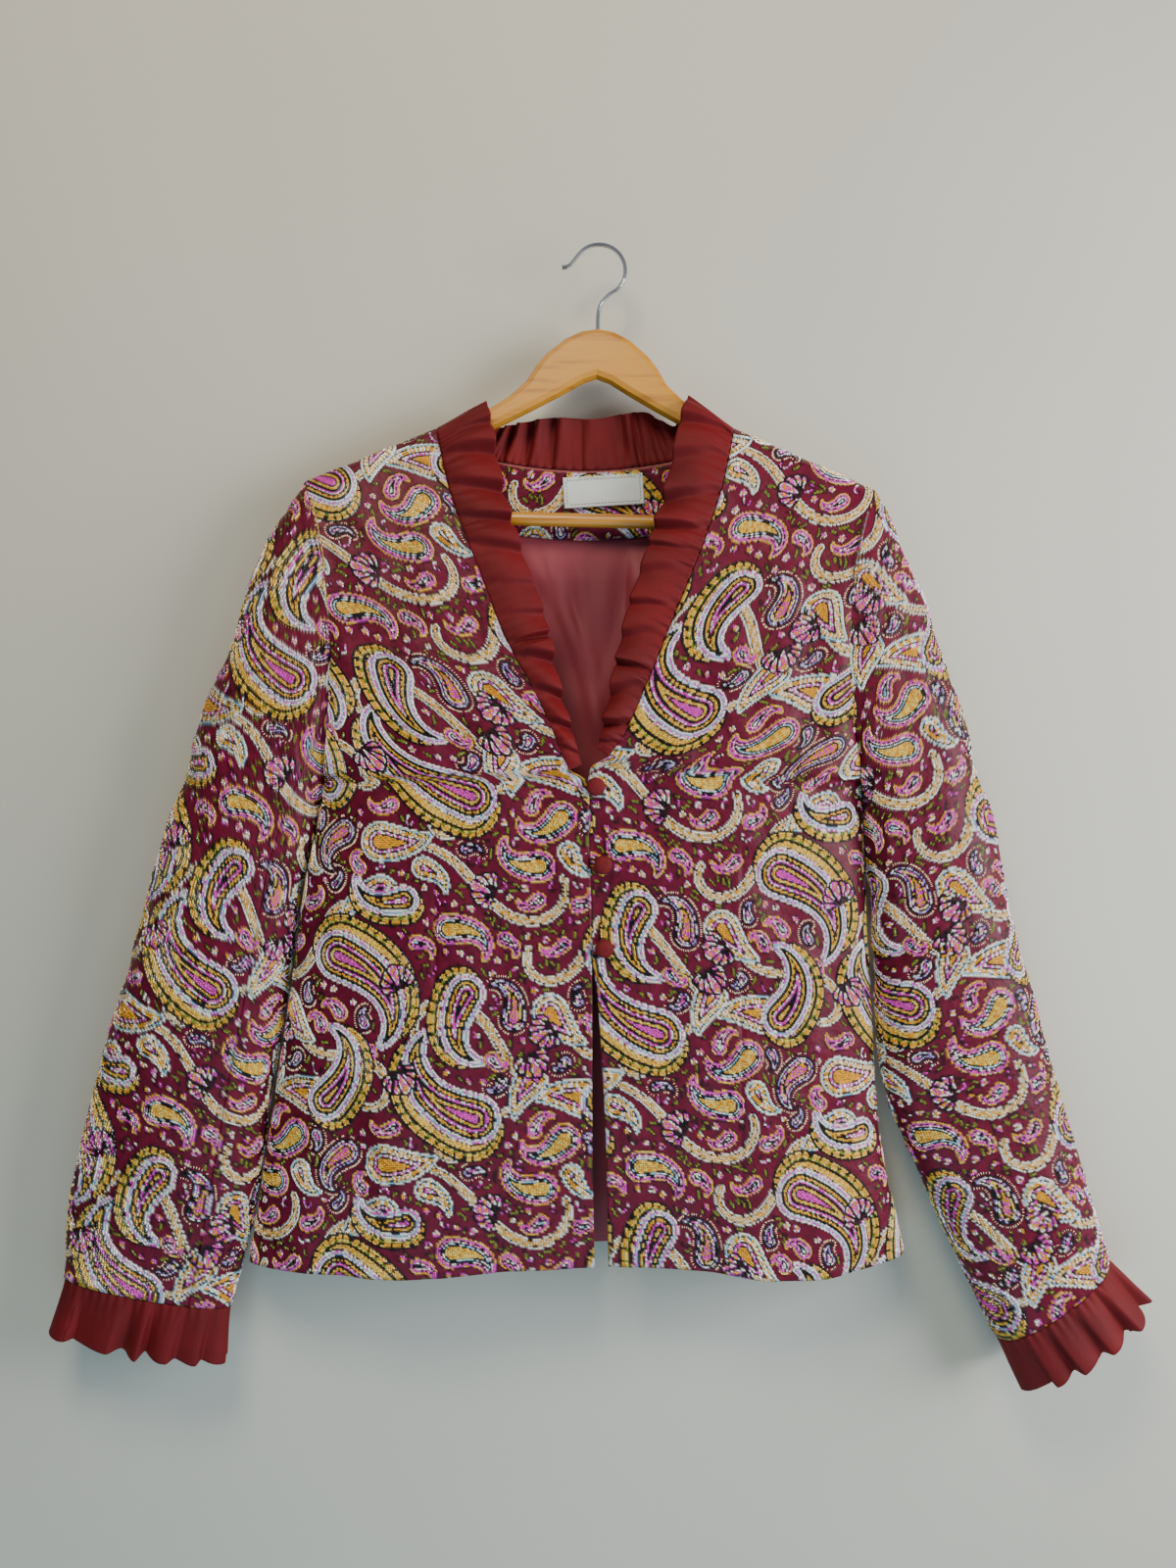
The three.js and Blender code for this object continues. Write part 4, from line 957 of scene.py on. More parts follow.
@dataclass(frozen=True)
class Thread:
    """Glossy rayon thread of the raised stitches."""

    roughness: float = 0.25

    def make(self) -> bpy.types.Material:
        """The finished material."""
        made, n, shader = material("embroidery_thread", Slot.EMBROIDERY, Roughness=self.roughness,
                                   Specular_IOR_Level=0.9, Sheen_Weight=0.03)
        where = n.where()
        tint = n.tint()
        fray = n.ramp(n.noise(where, 1500.0, 2.0, 0.7), ((0.3, (0.7, 0.68, 0.68)), (0.6, (1.0, 1.0, 1.0))))
        n.link(n.mix(1.0, tint, fray, "MULTIPLY"), shader.inputs["Base Color"])
        n.link(n.bump(n.noise(where, 2600.0, 1.0), 0.12, 0.5), shader.inputs["Normal"])
        return made


@dataclass(frozen=True)
class Chiffon:
    """Red chiffon folded double: matt, a little lighter where it turns away."""

    deep: tuple = srgb("3a0408")
    bright: tuple = srgb("680910")

    def make(self) -> bpy.types.Material:
        """The finished material."""
        made, n, shader = material("red_chiffon", Slot.CHIFFON, Roughness=0.7, Sheen_Weight=0.12,
                                   Sheen_Roughness=0.35, Specular_IOR_Level=0.2)
        shader.inputs["Sheen Tint"].default_value = (*srgb("d0605a"), 1)
        where = n.where()
        n.two_tone(shader, n.noise(where, 22.0, 3.0), self.deep, self.bright)
        crepe = n.noise(where, 1500.0, 2.0, 0.7)
        crush = n.noise(n.mapped(where, (60.0, 60.0, 22.0)), 1.0, 3.0)
        n.link(n.bump(crepe, 0.12, 0.5, n.bump(crush, 1.6, 0.45)), shader.inputs["Normal"])
        return made


@dataclass(frozen=True)
class LiningSatin:
    """Dusky rose lining with a soft gleam and small creases."""

    shade: tuple = srgb("5c1c27")
    light: tuple = srgb("8f3a46")

    def make(self) -> bpy.types.Material:
        """The finished material."""
        made, n, shader = material("lining_satin", Slot.LINING, Roughness=0.6, Sheen_Weight=0.08,
                                   Sheen_Roughness=0.3, Specular_IOR_Level=0.3)
        where = n.where()
        n.two_tone(shader, n.noise(where, 9.0), self.shade, self.light)
        creases = n.noise(n.mapped(where, (26.0, 26.0, 9.0), 0.4), 1.0, 4.0, 0.55)
        twill = n.noise(n.mapped(where, (2400.0, 900.0, 300.0)), 1.0, 1.0)
        n.link(n.bump(twill, 0.05, 0.4, n.bump(creases, 3.0, 0.5)), shader.inputs["Normal"])
        return made


@dataclass(frozen=True)
class Crepe:
    """Dark red cover of the buttons and loops."""

    deep: tuple = srgb("3c060a")
    bright: tuple = srgb("6c0e14")

    def make(self) -> bpy.types.Material:
        """The finished material."""
        made, n, shader = material("button_cover", Slot.BUTTON, Roughness=0.7, Specular_IOR_Level=0.2)
        where = n.where()
        n.two_tone(shader, n.noise(where, 300.0), self.deep, self.bright)
        n.link(n.bump(n.noise(where, 2200.0, 1.0), 0.12, 0.6), shader.inputs["Normal"])
        return made


@dataclass(frozen=True)
class PaleWood:
    """Honey-coloured wood with fine grain under a satin lacquer."""

    early: tuple = srgb("b0781e")
    late: tuple = srgb("7e480a")

    def make(self, name: str, stretch: Sequence[float]) -> bpy.types.Material:
        """The finished material.

        Args:
            name: the material's name.
            stretch: scale of the grain along each axis; the grain runs along the smallest.

        Returns:
            The material.
        """
        made, n, shader = material(name, Slot.WOOD, Roughness=0.42, Coat_Weight=0.12, Coat_Roughness=0.3)
        where = n.where()
        stretched = n.mapped(where, stretch)
        grain = n.noise(stretched, 1.0, 5.0, 0.6)
        pores = n.noise(n.mapped(where, tuple(4 * s for s in stretch)), 1.0, 2.0)
        tone = n.ramp(grain, ((0.3, self.late), (0.52, self.early), (0.7, self.early)))
        tone = n.mix(n.math("MULTIPLY", pores, 0.25), tone, (*self.late, 1))
        n.link(tone, shader.inputs["Base Color"])
        n.link(n.bump(pores, 0.12, 0.4), shader.inputs["Normal"])
        return made


@dataclass(frozen=True)
class Wire:
    """Bright plated wire with faint drawing lines."""

    def make(self) -> bpy.types.Material:
        """The finished material."""
        made, n, shader = material("chromed_wire", Slot.CHROME, Metallic=1.0, Roughness=0.16)
        where = n.where()
        n.two_tone(shader, n.noise(where, 180.0), (0.55, 0.56, 0.58), (0.78, 0.79, 0.8))
        n.link(n.bump(n.noise(where, 900.0, 1.0), 0.02, 0.3), shader.inputs["Normal"])
        return made


@dataclass(frozen=True)
class WovenLabel:
    """Off-white woven tape, with no words."""

    def make(self) -> bpy.types.Material:
        """The finished material."""
        made, n, shader = material("label_weave", Slot.LABEL, Roughness=0.5, Sheen_Weight=0.2)
        where = n.where()
        n.two_tone(shader, n.noise(where, 60.0), srgb("a5a8a8"), srgb("bcbdbb"))
        ribs = n.noise(n.mapped(where, (400.0, 400.0, 2600.0)), 1.0, 1.0)
        n.link(n.bump(ribs, 0.12, 0.5), shader.inputs["Normal"])
        return made


@dataclass
class Dressing:
    """The finishes and the tile, made once and shared by the pieces.

    Attributes:
        tile, threads: the embroidery's pattern and its colours.
        satin, thread, chiffon, lining, crepe, label, wood, rod, wire: the materials.
    """

    tile: PaisleyTile = field(default_factory=PaisleyTile)
    threads: Threads = field(default_factory=Threads)
    satin: bpy.types.Material = field(init=False)
    thread: bpy.types.Material = field(init=False)
    chiffon: bpy.types.Material = field(init=False)
    lining: bpy.types.Material = field(init=False)
    crepe: bpy.types.Material = field(init=False)
    label: bpy.types.Material = field(init=False)
    wood: bpy.types.Material = field(init=False)
    rod: bpy.types.Material = field(init=False)
    wire: bpy.types.Material = field(init=False)

    def __post_init__(self) -> None:
        """Makes the materials."""
        self.satin = EmbroideredSatin().make()
        self.thread = Thread().make()
        self.chiffon = Chiffon().make()
        self.lining = LiningSatin().make()
        self.crepe = Crepe().make()
        self.label = WovenLabel().make()
        self.wood = PaleWood().make("pale_wood_arms", (14.0, 90.0, 170.0))
        self.rod = PaleWood().make("pale_wood_bar", (8.0, 200.0, 200.0))
        self.wire = Wire().make()

    def embroider(self, name: str, sheet: Sheet, u: Array, v: Array, node: str, depth: float = 0.0,
                  far: float = CLOTH, step: int = 4) -> bpy.types.Object:
        """Builds an embroidered piece of cloth and the stitches on it.

        Args:
            name: the piece's name.
            sheet: its grid.
            u, v: the pattern's places at its points.
            node: the CAD node that it replaces.
            depth: how far its outer skin lies inside the grid.
            far: how far its inner skin does.
            step: how many outer cells one inner cell spans.

        Returns:
            The cloth.
        """
        out = 1.0 if far >= depth else -1.0
        near = depth - out * UNDERLAY_AND_GAP_SHADE * self.tile.relief(u, v)
        thing = shell(name, sheet, near, far, step)
        distance, along, kind, _ = self.tile.read(u, v)
        under = self.threads.paint(-distance, along, kind)
        colours = self.threads.colours
        # The ground just outside each motif is painted dark plum: partly an outline, partly painted shade
        # beside the raised thread.
        ground = np.where((distance < OUTLINE_AND_SHADE_RIM)[..., None], colours["plum"], colours["ground"])
        # Painted shade: under the stitches the thread colour is painted at half brightness, so the gaps
        # between stitches look shaded.
        under = np.where((distance < 0)[..., None], under * UNDERLAY_AND_GAP_SHADE, ground)
        paint_points(thing, under.reshape(-1, 3))
        self.finish(thing, Slot.EMBROIDERY, self.satin, self.lining, nodes=[node])
        facing = Sheet(sheet.points, sheet.inside * out, sheet.closed)
        sewing = Stitching(self.tile, self.threads)
        stitches = sewing.place(f"{name}_stitches", facing, u, v, sheet.moved(near))
        self.finish(stitches, Slot.EMBROIDERY, self.thread)
        return thing

    def finish(self, thing: bpy.types.Object, slot: Slot, *materials: bpy.types.Material,
               nodes: Sequence[str] = ()) -> bpy.types.Object:
        """Dresses a new piece, rides it on the body and hides the CAD nodes that it replaces.

        Args:
            thing: the piece.
            slot: the record's material slot; not used.
            materials: its materials, outer first.
            nodes: CAD nodes that it replaces.

        Returns:
            The piece.
        """
        for made in materials:
            thing.data.materials.append(made)
        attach(thing, BODY)
        if nodes:
            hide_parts(*nodes)
        log.info("%s: %d faces", thing.name, len(thing.data.polygons))
        return thing


NECKLINE = {
    Side.RIGHT: ((139.2, -124.7), (194, -112), (255, -89), (301, -71), (350, -45), (401, -23)),
    Side.LEFT: ((139.2, 102.3), (187, 92), (235, 76), (279, 58), (328, 38), (374, 18), (391, 6)),
}
FRONT_EDGE = {
    Side.RIGHT: ((401, -23), (408, -10.4), (445, -8.3), (493, -6.8), (554, -6.1), (683, -5.6), (766, -4.2)),
    Side.LEFT: ((391, 6), (399, -7), (440, -9.6), (520, -9), (560, -3), (620, 1.5), (683, 4.4), (766, 6)),
}
SIDE_SEAM = {
    Side.RIGHT: ((405, -208), (440, -214), (486, -223.5), (560, -233.5), (635, -244.5), (709, -256),
                 (772, -266.5)),
    Side.LEFT: ((410, 198), (486, 201), (590, 206.5), (632, 208.5), (687, 214), (740, 225), (766, 231)),
}
FRONT_HEM = {
    Side.RIGHT: ((0, 766), (0.25, 768), (0.55, 773), (0.8, 772), (1, 771)),
    Side.LEFT: ((0, 766), (0.3, 768), (0.65, 776), (1, 765)),
}
SHOULDER_TIP = {Side.RIGHT: (-223.0, 180.0), Side.LEFT: (209.0, 186.5)}
UNDERARM = {Side.RIGHT: (-208.0, 405.0), Side.LEFT: (198.0, 410.0)}
NECK_POINT = {Side.RIGHT: (-124.7, 139.2), Side.LEFT: (102.3, 139.2)}
# Rings: place in the sleeve, outer x and down, inner x and down, depth before and behind, bow, y
SLEEVE_RINGS = {
    Side.RIGHT: (
        (0, -223, 180, -208, 405, 30, 20, 15, 0), (1, -239, 203, -210.5, 420, 32, 20, 12, 0),
        (2, -256, 234, -214, 438, 34, 21, 8, 0), (3, -277, 290, -221, 467, 35, 22, 3, -1),
        (4, -303, 362, -229, 503, 34, 22, 0, -2), (5, -326, 438, -235.5, 550, 32, 21, 0, -3),
        (6, -347, 511, -242, 597, 30, 20, 0, -4), (7, -368, 583, -249.5, 645, 28, 19, 0, -5),
        (8, -385, 652, -257, 694, 25, 17, 0, -5), (9, -399, 717, -266.5, 749, 22, 15, 0, -5),
        (10, -406.5, 784, -280.5, 807, 18, 12, 0, -5),
    ),
    Side.LEFT: (
        (0, 209, 186.5, 198, 410, 30, 20, 19, 0), (1, 220, 206, 200.5, 425, 32, 20, 15, 0),
        (2, 233, 240, 202, 443, 34, 21, 10, 0), (3, 253, 286, 204, 470, 35, 22, 4, -1),
        (4, 276, 362, 206.5, 505, 34, 22, 0, -2), (5, 297, 434, 209, 550, 32, 21, 0, -3),
        (6, 311, 503, 212, 600, 31, 21, 0, -4), (7, 328, 566, 219.5, 648, 30, 21, 0, -5),
        (8, 345, 634, 237, 692, 30, 21, 0, -5), (9, 364, 696, 263.5, 750, 31, 22, 0, -5),
        (10, 384, 769, 300.5, 829, 32, 22, 0, -5),
    ),
}
RUFFLE_EDGE = {
    Side.RIGHT: ((0, -87, 118, -1), (0.03, -85, 124, -10), (0.07, -82, 136, -15), (0.22, -73, 186, -20),
                 (0.43, -57, 240, -27), (0.6, -42, 282, -31), (0.8, -29, 341, -36), (1, -13.5, 397, -40)),
    Side.LEFT: ((0, 68, 114, -1), (0.03, 66, 120, -10), (0.07, 60, 136, -15), (0.22, 50, 184, -20),
                (0.42, 36, 231, -27), (0.62, 20, 282, -31), (0.82, 8.5, 334, -36), (1, -2, 385, -38)),
}
BACK_RUFFLE_EDGE = ((0, -87, 118, 1), (0.03, -85, 122, 10.5), (0.1, -80, 133, 14), (0.22, -66, 131, 15),
                    (0.38, -38, 126, 16), (0.55, -4, 127, 16), (0.75, 34, 122, 15), (0.9, 58, 133, 14),
                    (0.97, 66, 119, 10.5), (1, 68, 114, 1))
# Place down the sleeve, slant, depth and width of each slanting crease
SLEEVE_CREASES = (
    (0.42, 0.05, 2.2, 0.018), (0.48, -0.04, 2.6, 0.02), (0.545, 0.06, 1.9, 0.016), (0.36, -0.05, 1.5, 0.02),
    (0.62, 0.04, 1.4, 0.022), (0.25, 0.10, 1.8, 0.03), (0.15, 0.16, 1.6, 0.03),
)
DART_X = {Side.RIGHT: -121.0, Side.LEFT: 104.0}
BUTTON_PLACES = ((-3.3, 413.0), (2.1, 470.0), (3.0, 531.0))

SHOULDER_REACH = 7.0
SHOULDER_DEPTH = 12.0
CHEST_DEPTH = 40.0
HEM_DEPTH = 37.0
BACK_DEPTH = 22.0
UNDERLAP = 2.8
FRONT_FULLNESS = 3.0
BACK_FULLNESS = 2.6
SLEEVE_FULLNESS = 2.4
LAST_RING = 10.0


def shoulder_wrap(distance: Array) -> Array:
    """How far the cloth stands off the hanger's plane a little below the shoulder seam."""
    return SHOULDER_DEPTH * np.sqrt(np.clip(distance / SHOULDER_REACH, 0, 1))


def place(x: Array, y: Array, down: Array) -> Array:
    """Points from their x, y and distance down."""
    x, y, down = np.broadcast_arrays(x, y, down)
    return np.stack([x, y, -down], -1).astype(float)


def neckline(side: Side, fraction: Array) -> Array:
    """Points of the neckline seam of a front, from the shoulder, 0, to the bottom of the V, 1.

    Their depth is the shoulder's wrap plus a sine that flattens towards the V.
    """
    top, bottom = NECKLINE[side][0][0], NECKLINE[side][-1][0]
    down = mix(top, bottom, fraction)
    slope = np.sin(fraction * math.pi / 2) ** 0.9
    depth = shoulder_wrap(fraction * (bottom - top)) + (CHEST_DEPTH - SHOULDER_DEPTH) * slope
    return place(curve(NECKLINE[side], 1, down), -depth, down)


def ring_points(side: Side, where: Array, along: Array, facing: float) -> Array:
    """Points of sleeve rings: a fraction along the chord, and out before (-1) or behind (+1) it."""
    rows = SLEEVE_RINGS[side]
    value = lambda column: curve(rows, column, where)
    bow = -side.value * value(7) * 4 * along * (1 - along)
    depth = fullness(2 * along - 1, SLEEVE_FULLNESS) * (value(5) if facing < 0 else value(6))
    x, down = mix(value(1), value(3), along) + bow, mix(value(2), value(4), along)
    return place(x, value(8) + facing * depth, down)


def tube_points(side: Side, where: Array, angles: Array) -> Array:
    """Points of sleeve rings at angles round them, the front face first.

    A ring is drawn with x = cos^(2/q), y = sin^(2/q), which spaces its points evenly.

    Args:
        side: the wearer's side.
        where: places in the sleeve, from 0 to LAST_RING.
        angles: angles round the ring, along the last axis.

    Returns:
        The points.
    """
    along = 0.5 * (1 - signed_power(np.cos(angles), 2 / SLEEVE_FULLNESS))
    is_front = np.broadcast_to(np.sin(angles) >= 0, np.broadcast_shapes(where.shape, angles.shape))
    front, behind = (ring_points(side, where, along, facing) for facing in (-1, 1))
    return np.where(is_front[..., None], front, behind)


def back_fraction(x: Array) -> Array:
    """The fraction across the back at an x, from the right shoulder's tip to the left one's."""
    right, left = SHOULDER_TIP[Side.RIGHT][0], SHOULDER_TIP[Side.LEFT][0]
    return (x - right) / (left - right)


def away_from_seams(across: Array, level: Array) -> Array:
    """A share that is 1 in the middle of a panel, and 0 at its sides and its top."""
    return np.clip(np.sin(math.pi * across) * 3, 0, 1) * np.clip(level * 4, 0, 1)


def panel(points: Array, facing: float) -> Sheet:
    """A body panel as a sheet.

    Args:
        points: its grid.
        facing: the sign of y towards its inside.

    Returns:
        The sheet.
    """
    shape = points.shape[:2]
    inside = np.stack([-0.3 * np.sign(points[..., 0]), np.full(shape, facing), np.full(shape, -0.4)], -1)
    return Sheet(points, inside)


def dense_ends(count: int) -> Array:
    """Fractions from 0 to 1, closer together at both ends."""
    t = np.linspace(0, 1, count)
    return t - 0.12 * np.sin(2 * math.pi * t) / (2 * math.pi) * 2


@dataclass
class Front:
    """One front: rows run from the neckline or front edge across to the armhole or side seam.

    Attributes:
        side: the wearer's side.
        rows, lower_rows, columns: points down the armhole, below it, and across.
        swing: how far the drape stands out at the chest and at the hem.
        waves: height of the drape's ripple at the hem.
        dart: top and bottom of the waist dart, and the length over which it fades.
    """

    side: Side
    rows: int = 160
    lower_rows: int = 240
    columns: int = 190
    swing: tuple = (3.0, 6.0)
    waves: float = 1.5
    dart: tuple = (440.0, 735.0, 60.0)

    def sheet(self) -> Sheet:
        """The panel's grid; its section is (1-x^3)^(1/3) deep, with soft drape in its middle."""
        side = self.side
        level = dense_ends(self.rows)
        arm = np.zeros_like(level)
        inner = neckline(side, level)
        outer = ring_points(side, arm, level, -1)
        lower = np.linspace(0, 1, self.lower_rows + 1)[1:]
        v_down, arm_down = NECKLINE[side][-1][0], UNDERARM[side][1]
        edge_down = mix(v_down, FRONT_HEM[side][0][1], lower)
        side_down = mix(arm_down, SIDE_SEAM[side][-1][0], lower)
        under = UNDERLAP if side is Side.LEFT else 0.0
        under = under * np.clip(lower / 0.022, 0, 1)
        edge_y = -mix(CHEST_DEPTH, HEM_DEPTH, lower) + under
        edge = place(curve(FRONT_EDGE[side], 1, edge_down), edge_y, edge_down)
        seam = place(curve(SIDE_SEAM[side], 1, side_down), 0.0, side_down)
        a = np.concatenate([inner, edge])[:, None]
        b = np.concatenate([outer, seam])[:, None]
        level = np.concatenate([level, np.ones_like(lower)])[:, None]
        lower = np.concatenate([np.zeros(self.rows), lower])[:, None]
        across = 1 - (1 - np.linspace(0, 1, self.columns)[None]) ** 1.5
        full = fullness(across, FRONT_FULLNESS)
        points = mix(a, b, across[..., None])
        points[..., 1] = mix(b[..., 1], a[..., 1], full)
        middle = np.sin(math.pi * across) ** 2
        points[..., 1] -= middle * (mix(*self.swing, lower) * level
                                    + self.waves * lower * np.sin(5 * math.pi * across))
        hem = curve(FRONT_HEM[side], 1, across[0])[None]
        ends = mix(FRONT_HEM[side][0][1], FRONT_HEM[side][-1][1], across)
        points[..., 2] -= np.where(lower > 0, (hem - ends) * lower, 0)
        self._creases(points, across, level, lower)
        return panel(points, 1.0)

    def _creases(self, points: Array, across: Array, level: Array, lower: Array) -> None:
        """Soft uneven folds, none at the seams, and the sunk line of the waist dart."""
        x, down = points[..., 0], -points[..., 2]
        free = away_from_seams(across, level)
        fall = 2.1 * ripples(x * 1.6, down * 0.55, 3 if self.side is Side.LEFT else 4, 120)
        pull = 0.7 * ripples(x, down, 9, 42)
        points[..., 1] += free * (fall + pull)
        off_dart = x - DART_X[self.side]
        top, bottom, fade = self.dart
        length = np.clip((down - top) / fade, 0, 1) * np.clip((bottom - down) / fade, 0, 1)
        points[..., 1] += length * (1.3 * bell(off_dart, 1.6) + bell(off_dart, 12))

    def build(self, kit: Dressing) -> None:
        """Builds the panel, with its embroidery raised, and its lined inside."""
        sheet = self.sheet()
        offset = 38.0 if self.side is Side.RIGHT else 112.0
        u = offset + (sheet.u if self.side is Side.LEFT else -sheet.u)
        v = -sheet.points[..., 2] + (0 if self.side is Side.RIGHT else 61)
        name = f"front_{self.side.key}"
        thing = kit.embroider(f"{name}_cloth", sheet, u, v, name)
        sheet.flat()
        sheet.area()


@dataclass
class Back:
    """The back panel, with the facing, lining and label inside it.

    Attributes:
        rows, lower_rows, columns: points down the armhole, below it, and across.
        dip, stand: how far the neckline is hollowed, and how far it stands behind the hanger.
        facing_end: where the facing ends, as a fraction down the armhole.
        seam_x, seam_width, seam_depth: the sunk line of the centre seam.
    """

    rows: int = 130
    lower_rows: int = 190
    columns: int = 250
    dip: float = 29.0
    stand: float = 13.0
    facing_end: float = 0.225
    seam_x: float = -12.0
    seam_width: float = 1.5
    seam_depth: float = 0.9

    def across(self) -> Array:
        """Fractions across the back, closer together at the sides and at the neck's corners."""
        t = np.linspace(-math.pi / 2, math.pi / 2, self.columns - 12)
        even = mix(np.linspace(0, 1, len(t)), 0.5 * (1 + np.sin(t)), 0.6)
        corners = []
        for side in Side:
            neck = back_fraction(NECK_POINT[side][0])
            corners += [neck - side.value * k for k in (0.0, 0.0015, 0.004, 0.008, 0.014, 0.02)]
        return np.sort(np.concatenate([even, corners]))

    def top(self, across: Array) -> tuple[Array, Array, Array]:
        """The top edge: shoulder seam, hollowed neckline, shoulder seam.

        Returns:
            x, distance down and how far the edge stands behind the hanger.
        """
        r, l = SHOULDER_TIP[Side.RIGHT], SHOULDER_TIP[Side.LEFT]
        x = mix(r[0], l[0], across)
        neck_r, neck_l = NECK_POINT[Side.RIGHT], NECK_POINT[Side.LEFT]
        neck = (x - neck_r[0]) / (neck_l[0] - neck_r[0])
        down = np.interp(x, [r[0], neck_r[0], neck_l[0], l[0]], [r[1], neck_r[1], neck_l[1], l[1]])
        inside = (neck > 0) & (neck < 1)
        hollow = np.where(inside, fullness(2 * neck - 1, 1.8), 0)
        stand = np.where(inside, fullness(2 * neck - 1, 6.0), 0)
        return x, down + self.dip * hollow, self.stand * stand

    def grid(self, across: Array, level: Array, lower: Array) -> Array:
        """Points of the back at fractions across, down the armhole and down to the hem."""
        x, top_down, stand = self.top(across)
        r, l = UNDERARM[Side.RIGHT], UNDERARM[Side.LEFT]
        arm_down = mix(r[1], l[1], across)
        wrap = shoulder_wrap(level * (arm_down - top_down))
        full = fullness(2 * across - 1, BACK_FULLNESS)
        middle = wrap + (BACK_DEPTH - SHOULDER_DEPTH) * np.sin(level * math.pi / 2) ** 0.5
        edge = np.where(lower > 0, 0.0, fullness(2 * level - 1, SLEEVE_FULLNESS) * 20.0)
        y = mix(edge, middle, full) + stand * (1 - wrap / SHOULDER_DEPTH)
        bow = mix(15.0, -19.0, across) * 4 * level * (1 - level)
        upper_x = mix(x, mix(r[0], l[0], across), level) + bow
        upper_down = mix(top_down, arm_down, level)
        right_down = mix(r[1], SIDE_SEAM[Side.RIGHT][-1][0], lower)
        left_down = mix(l[1], SIDE_SEAM[Side.LEFT][-1][0], lower)
        right_x = curve(SIDE_SEAM[Side.RIGHT], 1, right_down)
        left_x = curve(SIDE_SEAM[Side.LEFT], 1, left_down)
        lower_x = mix(right_x, left_x, across)
        below = lower > 0
        return place(np.where(below, lower_x, upper_x), y,
                     np.where(below, mix(right_down, left_down, across), upper_down))

    def sheet(self, across: Array, level: Array, lower: Array, folds: bool) -> Sheet:
        """A part of the back as a sheet.

        Args:
            across: fractions across.
            level, lower: for each row, its fraction down the armhole and below it.
            folds: whether the drape's soft folds are added.

        Returns:
            The sheet.
        """
        points = self.grid(across[None], level[:, None], lower[:, None])
        if folds:
            x, down = points[..., 0], -points[..., 2]
            free = away_from_seams(across[None], level[:, None])
            long_folds, small_folds = ripples(x * 1.5, down * 0.5, 21, 130), ripples(x, down, 22, 45)
            points[..., 1] += free * (1.1 * long_folds + 0.4 * small_folds)
            seam = self.seam_depth * bell(x - self.seam_x, self.seam_width)
            points[..., 1] -= seam * np.clip(level[:, None] * 6, 0, 1)
        return panel(points, -1.0)

    def build(self, kit: Dressing) -> None:
        """Builds the panel and what is sewn inside it."""
        level = np.concatenate([dense_ends(self.rows), np.ones(self.lower_rows)])
        lower = np.concatenate([np.zeros(self.rows), np.linspace(0, 1, self.lower_rows + 1)[1:]])
        across = self.across()
        sheet = self.sheet(across, level, lower, True)
        u = sheet.points[..., 0] * 1.02 + 300
        v = -sheet.points[..., 2] + 30
        thing = kit.embroider("back_cloth", sheet, u, v, "back")
        sheet.flat()
        sheet.area()
        self._facing(kit)
        self._lining(kit)
        Label().build(kit)

    def _facing(self, kit: Dressing) -> None:
        """The neck facing: the back's own points moved inside it."""
        ends = [back_fraction(x) for x in (-94.0, 71.0)]
        level = np.linspace(0.0065, self.facing_end - 0.002, 44)
        sheet = self.sheet(np.linspace(*ends, 120), level, np.zeros(44), False)
        u, v = sheet.points[..., 0] + 262, -sheet.points[..., 2] + 118
        near = CLOTH + SEAM_GAP
        thing = kit.embroider("back_neck_facing_cloth", sheet, u, v, "back_neck_facing",
                              near + LINING, near, 2)
        sheet.flat()
        sheet.area()

    def _lining(self, kit: Dressing) -> None:
        """The back lining: a pressed centre pleat, a few long soft creases and small wrinkles."""
        rows_upper, rows_lower = 70, 120
        level = np.concatenate([np.linspace(self.facing_end, 1, rows_upper), np.ones(rows_lower)])
        lower = np.concatenate([np.zeros(rows_upper), np.linspace(0, 0.985, rows_lower + 1)[1:]])
        sheet = self.sheet(np.linspace(0.04, 0.96, 170), level, lower, False)
        p = sheet.points
        x, down = p[..., 0], -p[..., 2]
        pleat = x - 24 - (down - 230) * 0.02
        fold = 5.5 / (1 + np.exp(-pleat / 1.1)) * np.exp(-np.clip(pleat, 0, None) / 26)
        tucks = np.zeros_like(x)
        for k, (start, slope, depth, length) in enumerate(
                ((-42, 0.30, 2.2, 150), (-18, 0.12, 1.8, 190), (-58, 0.55, 1.6, 120), (44, -0.35, 2.0, 140),
                 (8, -0.10, 1.4, 230), (-30, -0.25, 1.3, 170))):
            line = x - start - (down - 225) * slope
            tucks += depth * bell(line, 4.5 + k) * bell(down - 240 - 0.3 * length, length)
        near = np.clip((down - 222) / 30, 0, 1)
        p[..., 1] -= near * (fold + tucks + 1.2 + 1.2 * ripples(x, down, 31, 70))
        sheet.refresh()
        inner = CLOTH + SEAM_GAP
        thing = shell("back_lining_cloth", sheet, inner + LINING, inner, 2)
        kit.finish(thing, Slot.LINING, kit.lining, kit.lining, nodes=["back_lining"])
        sheet.flat()
        sheet.area()


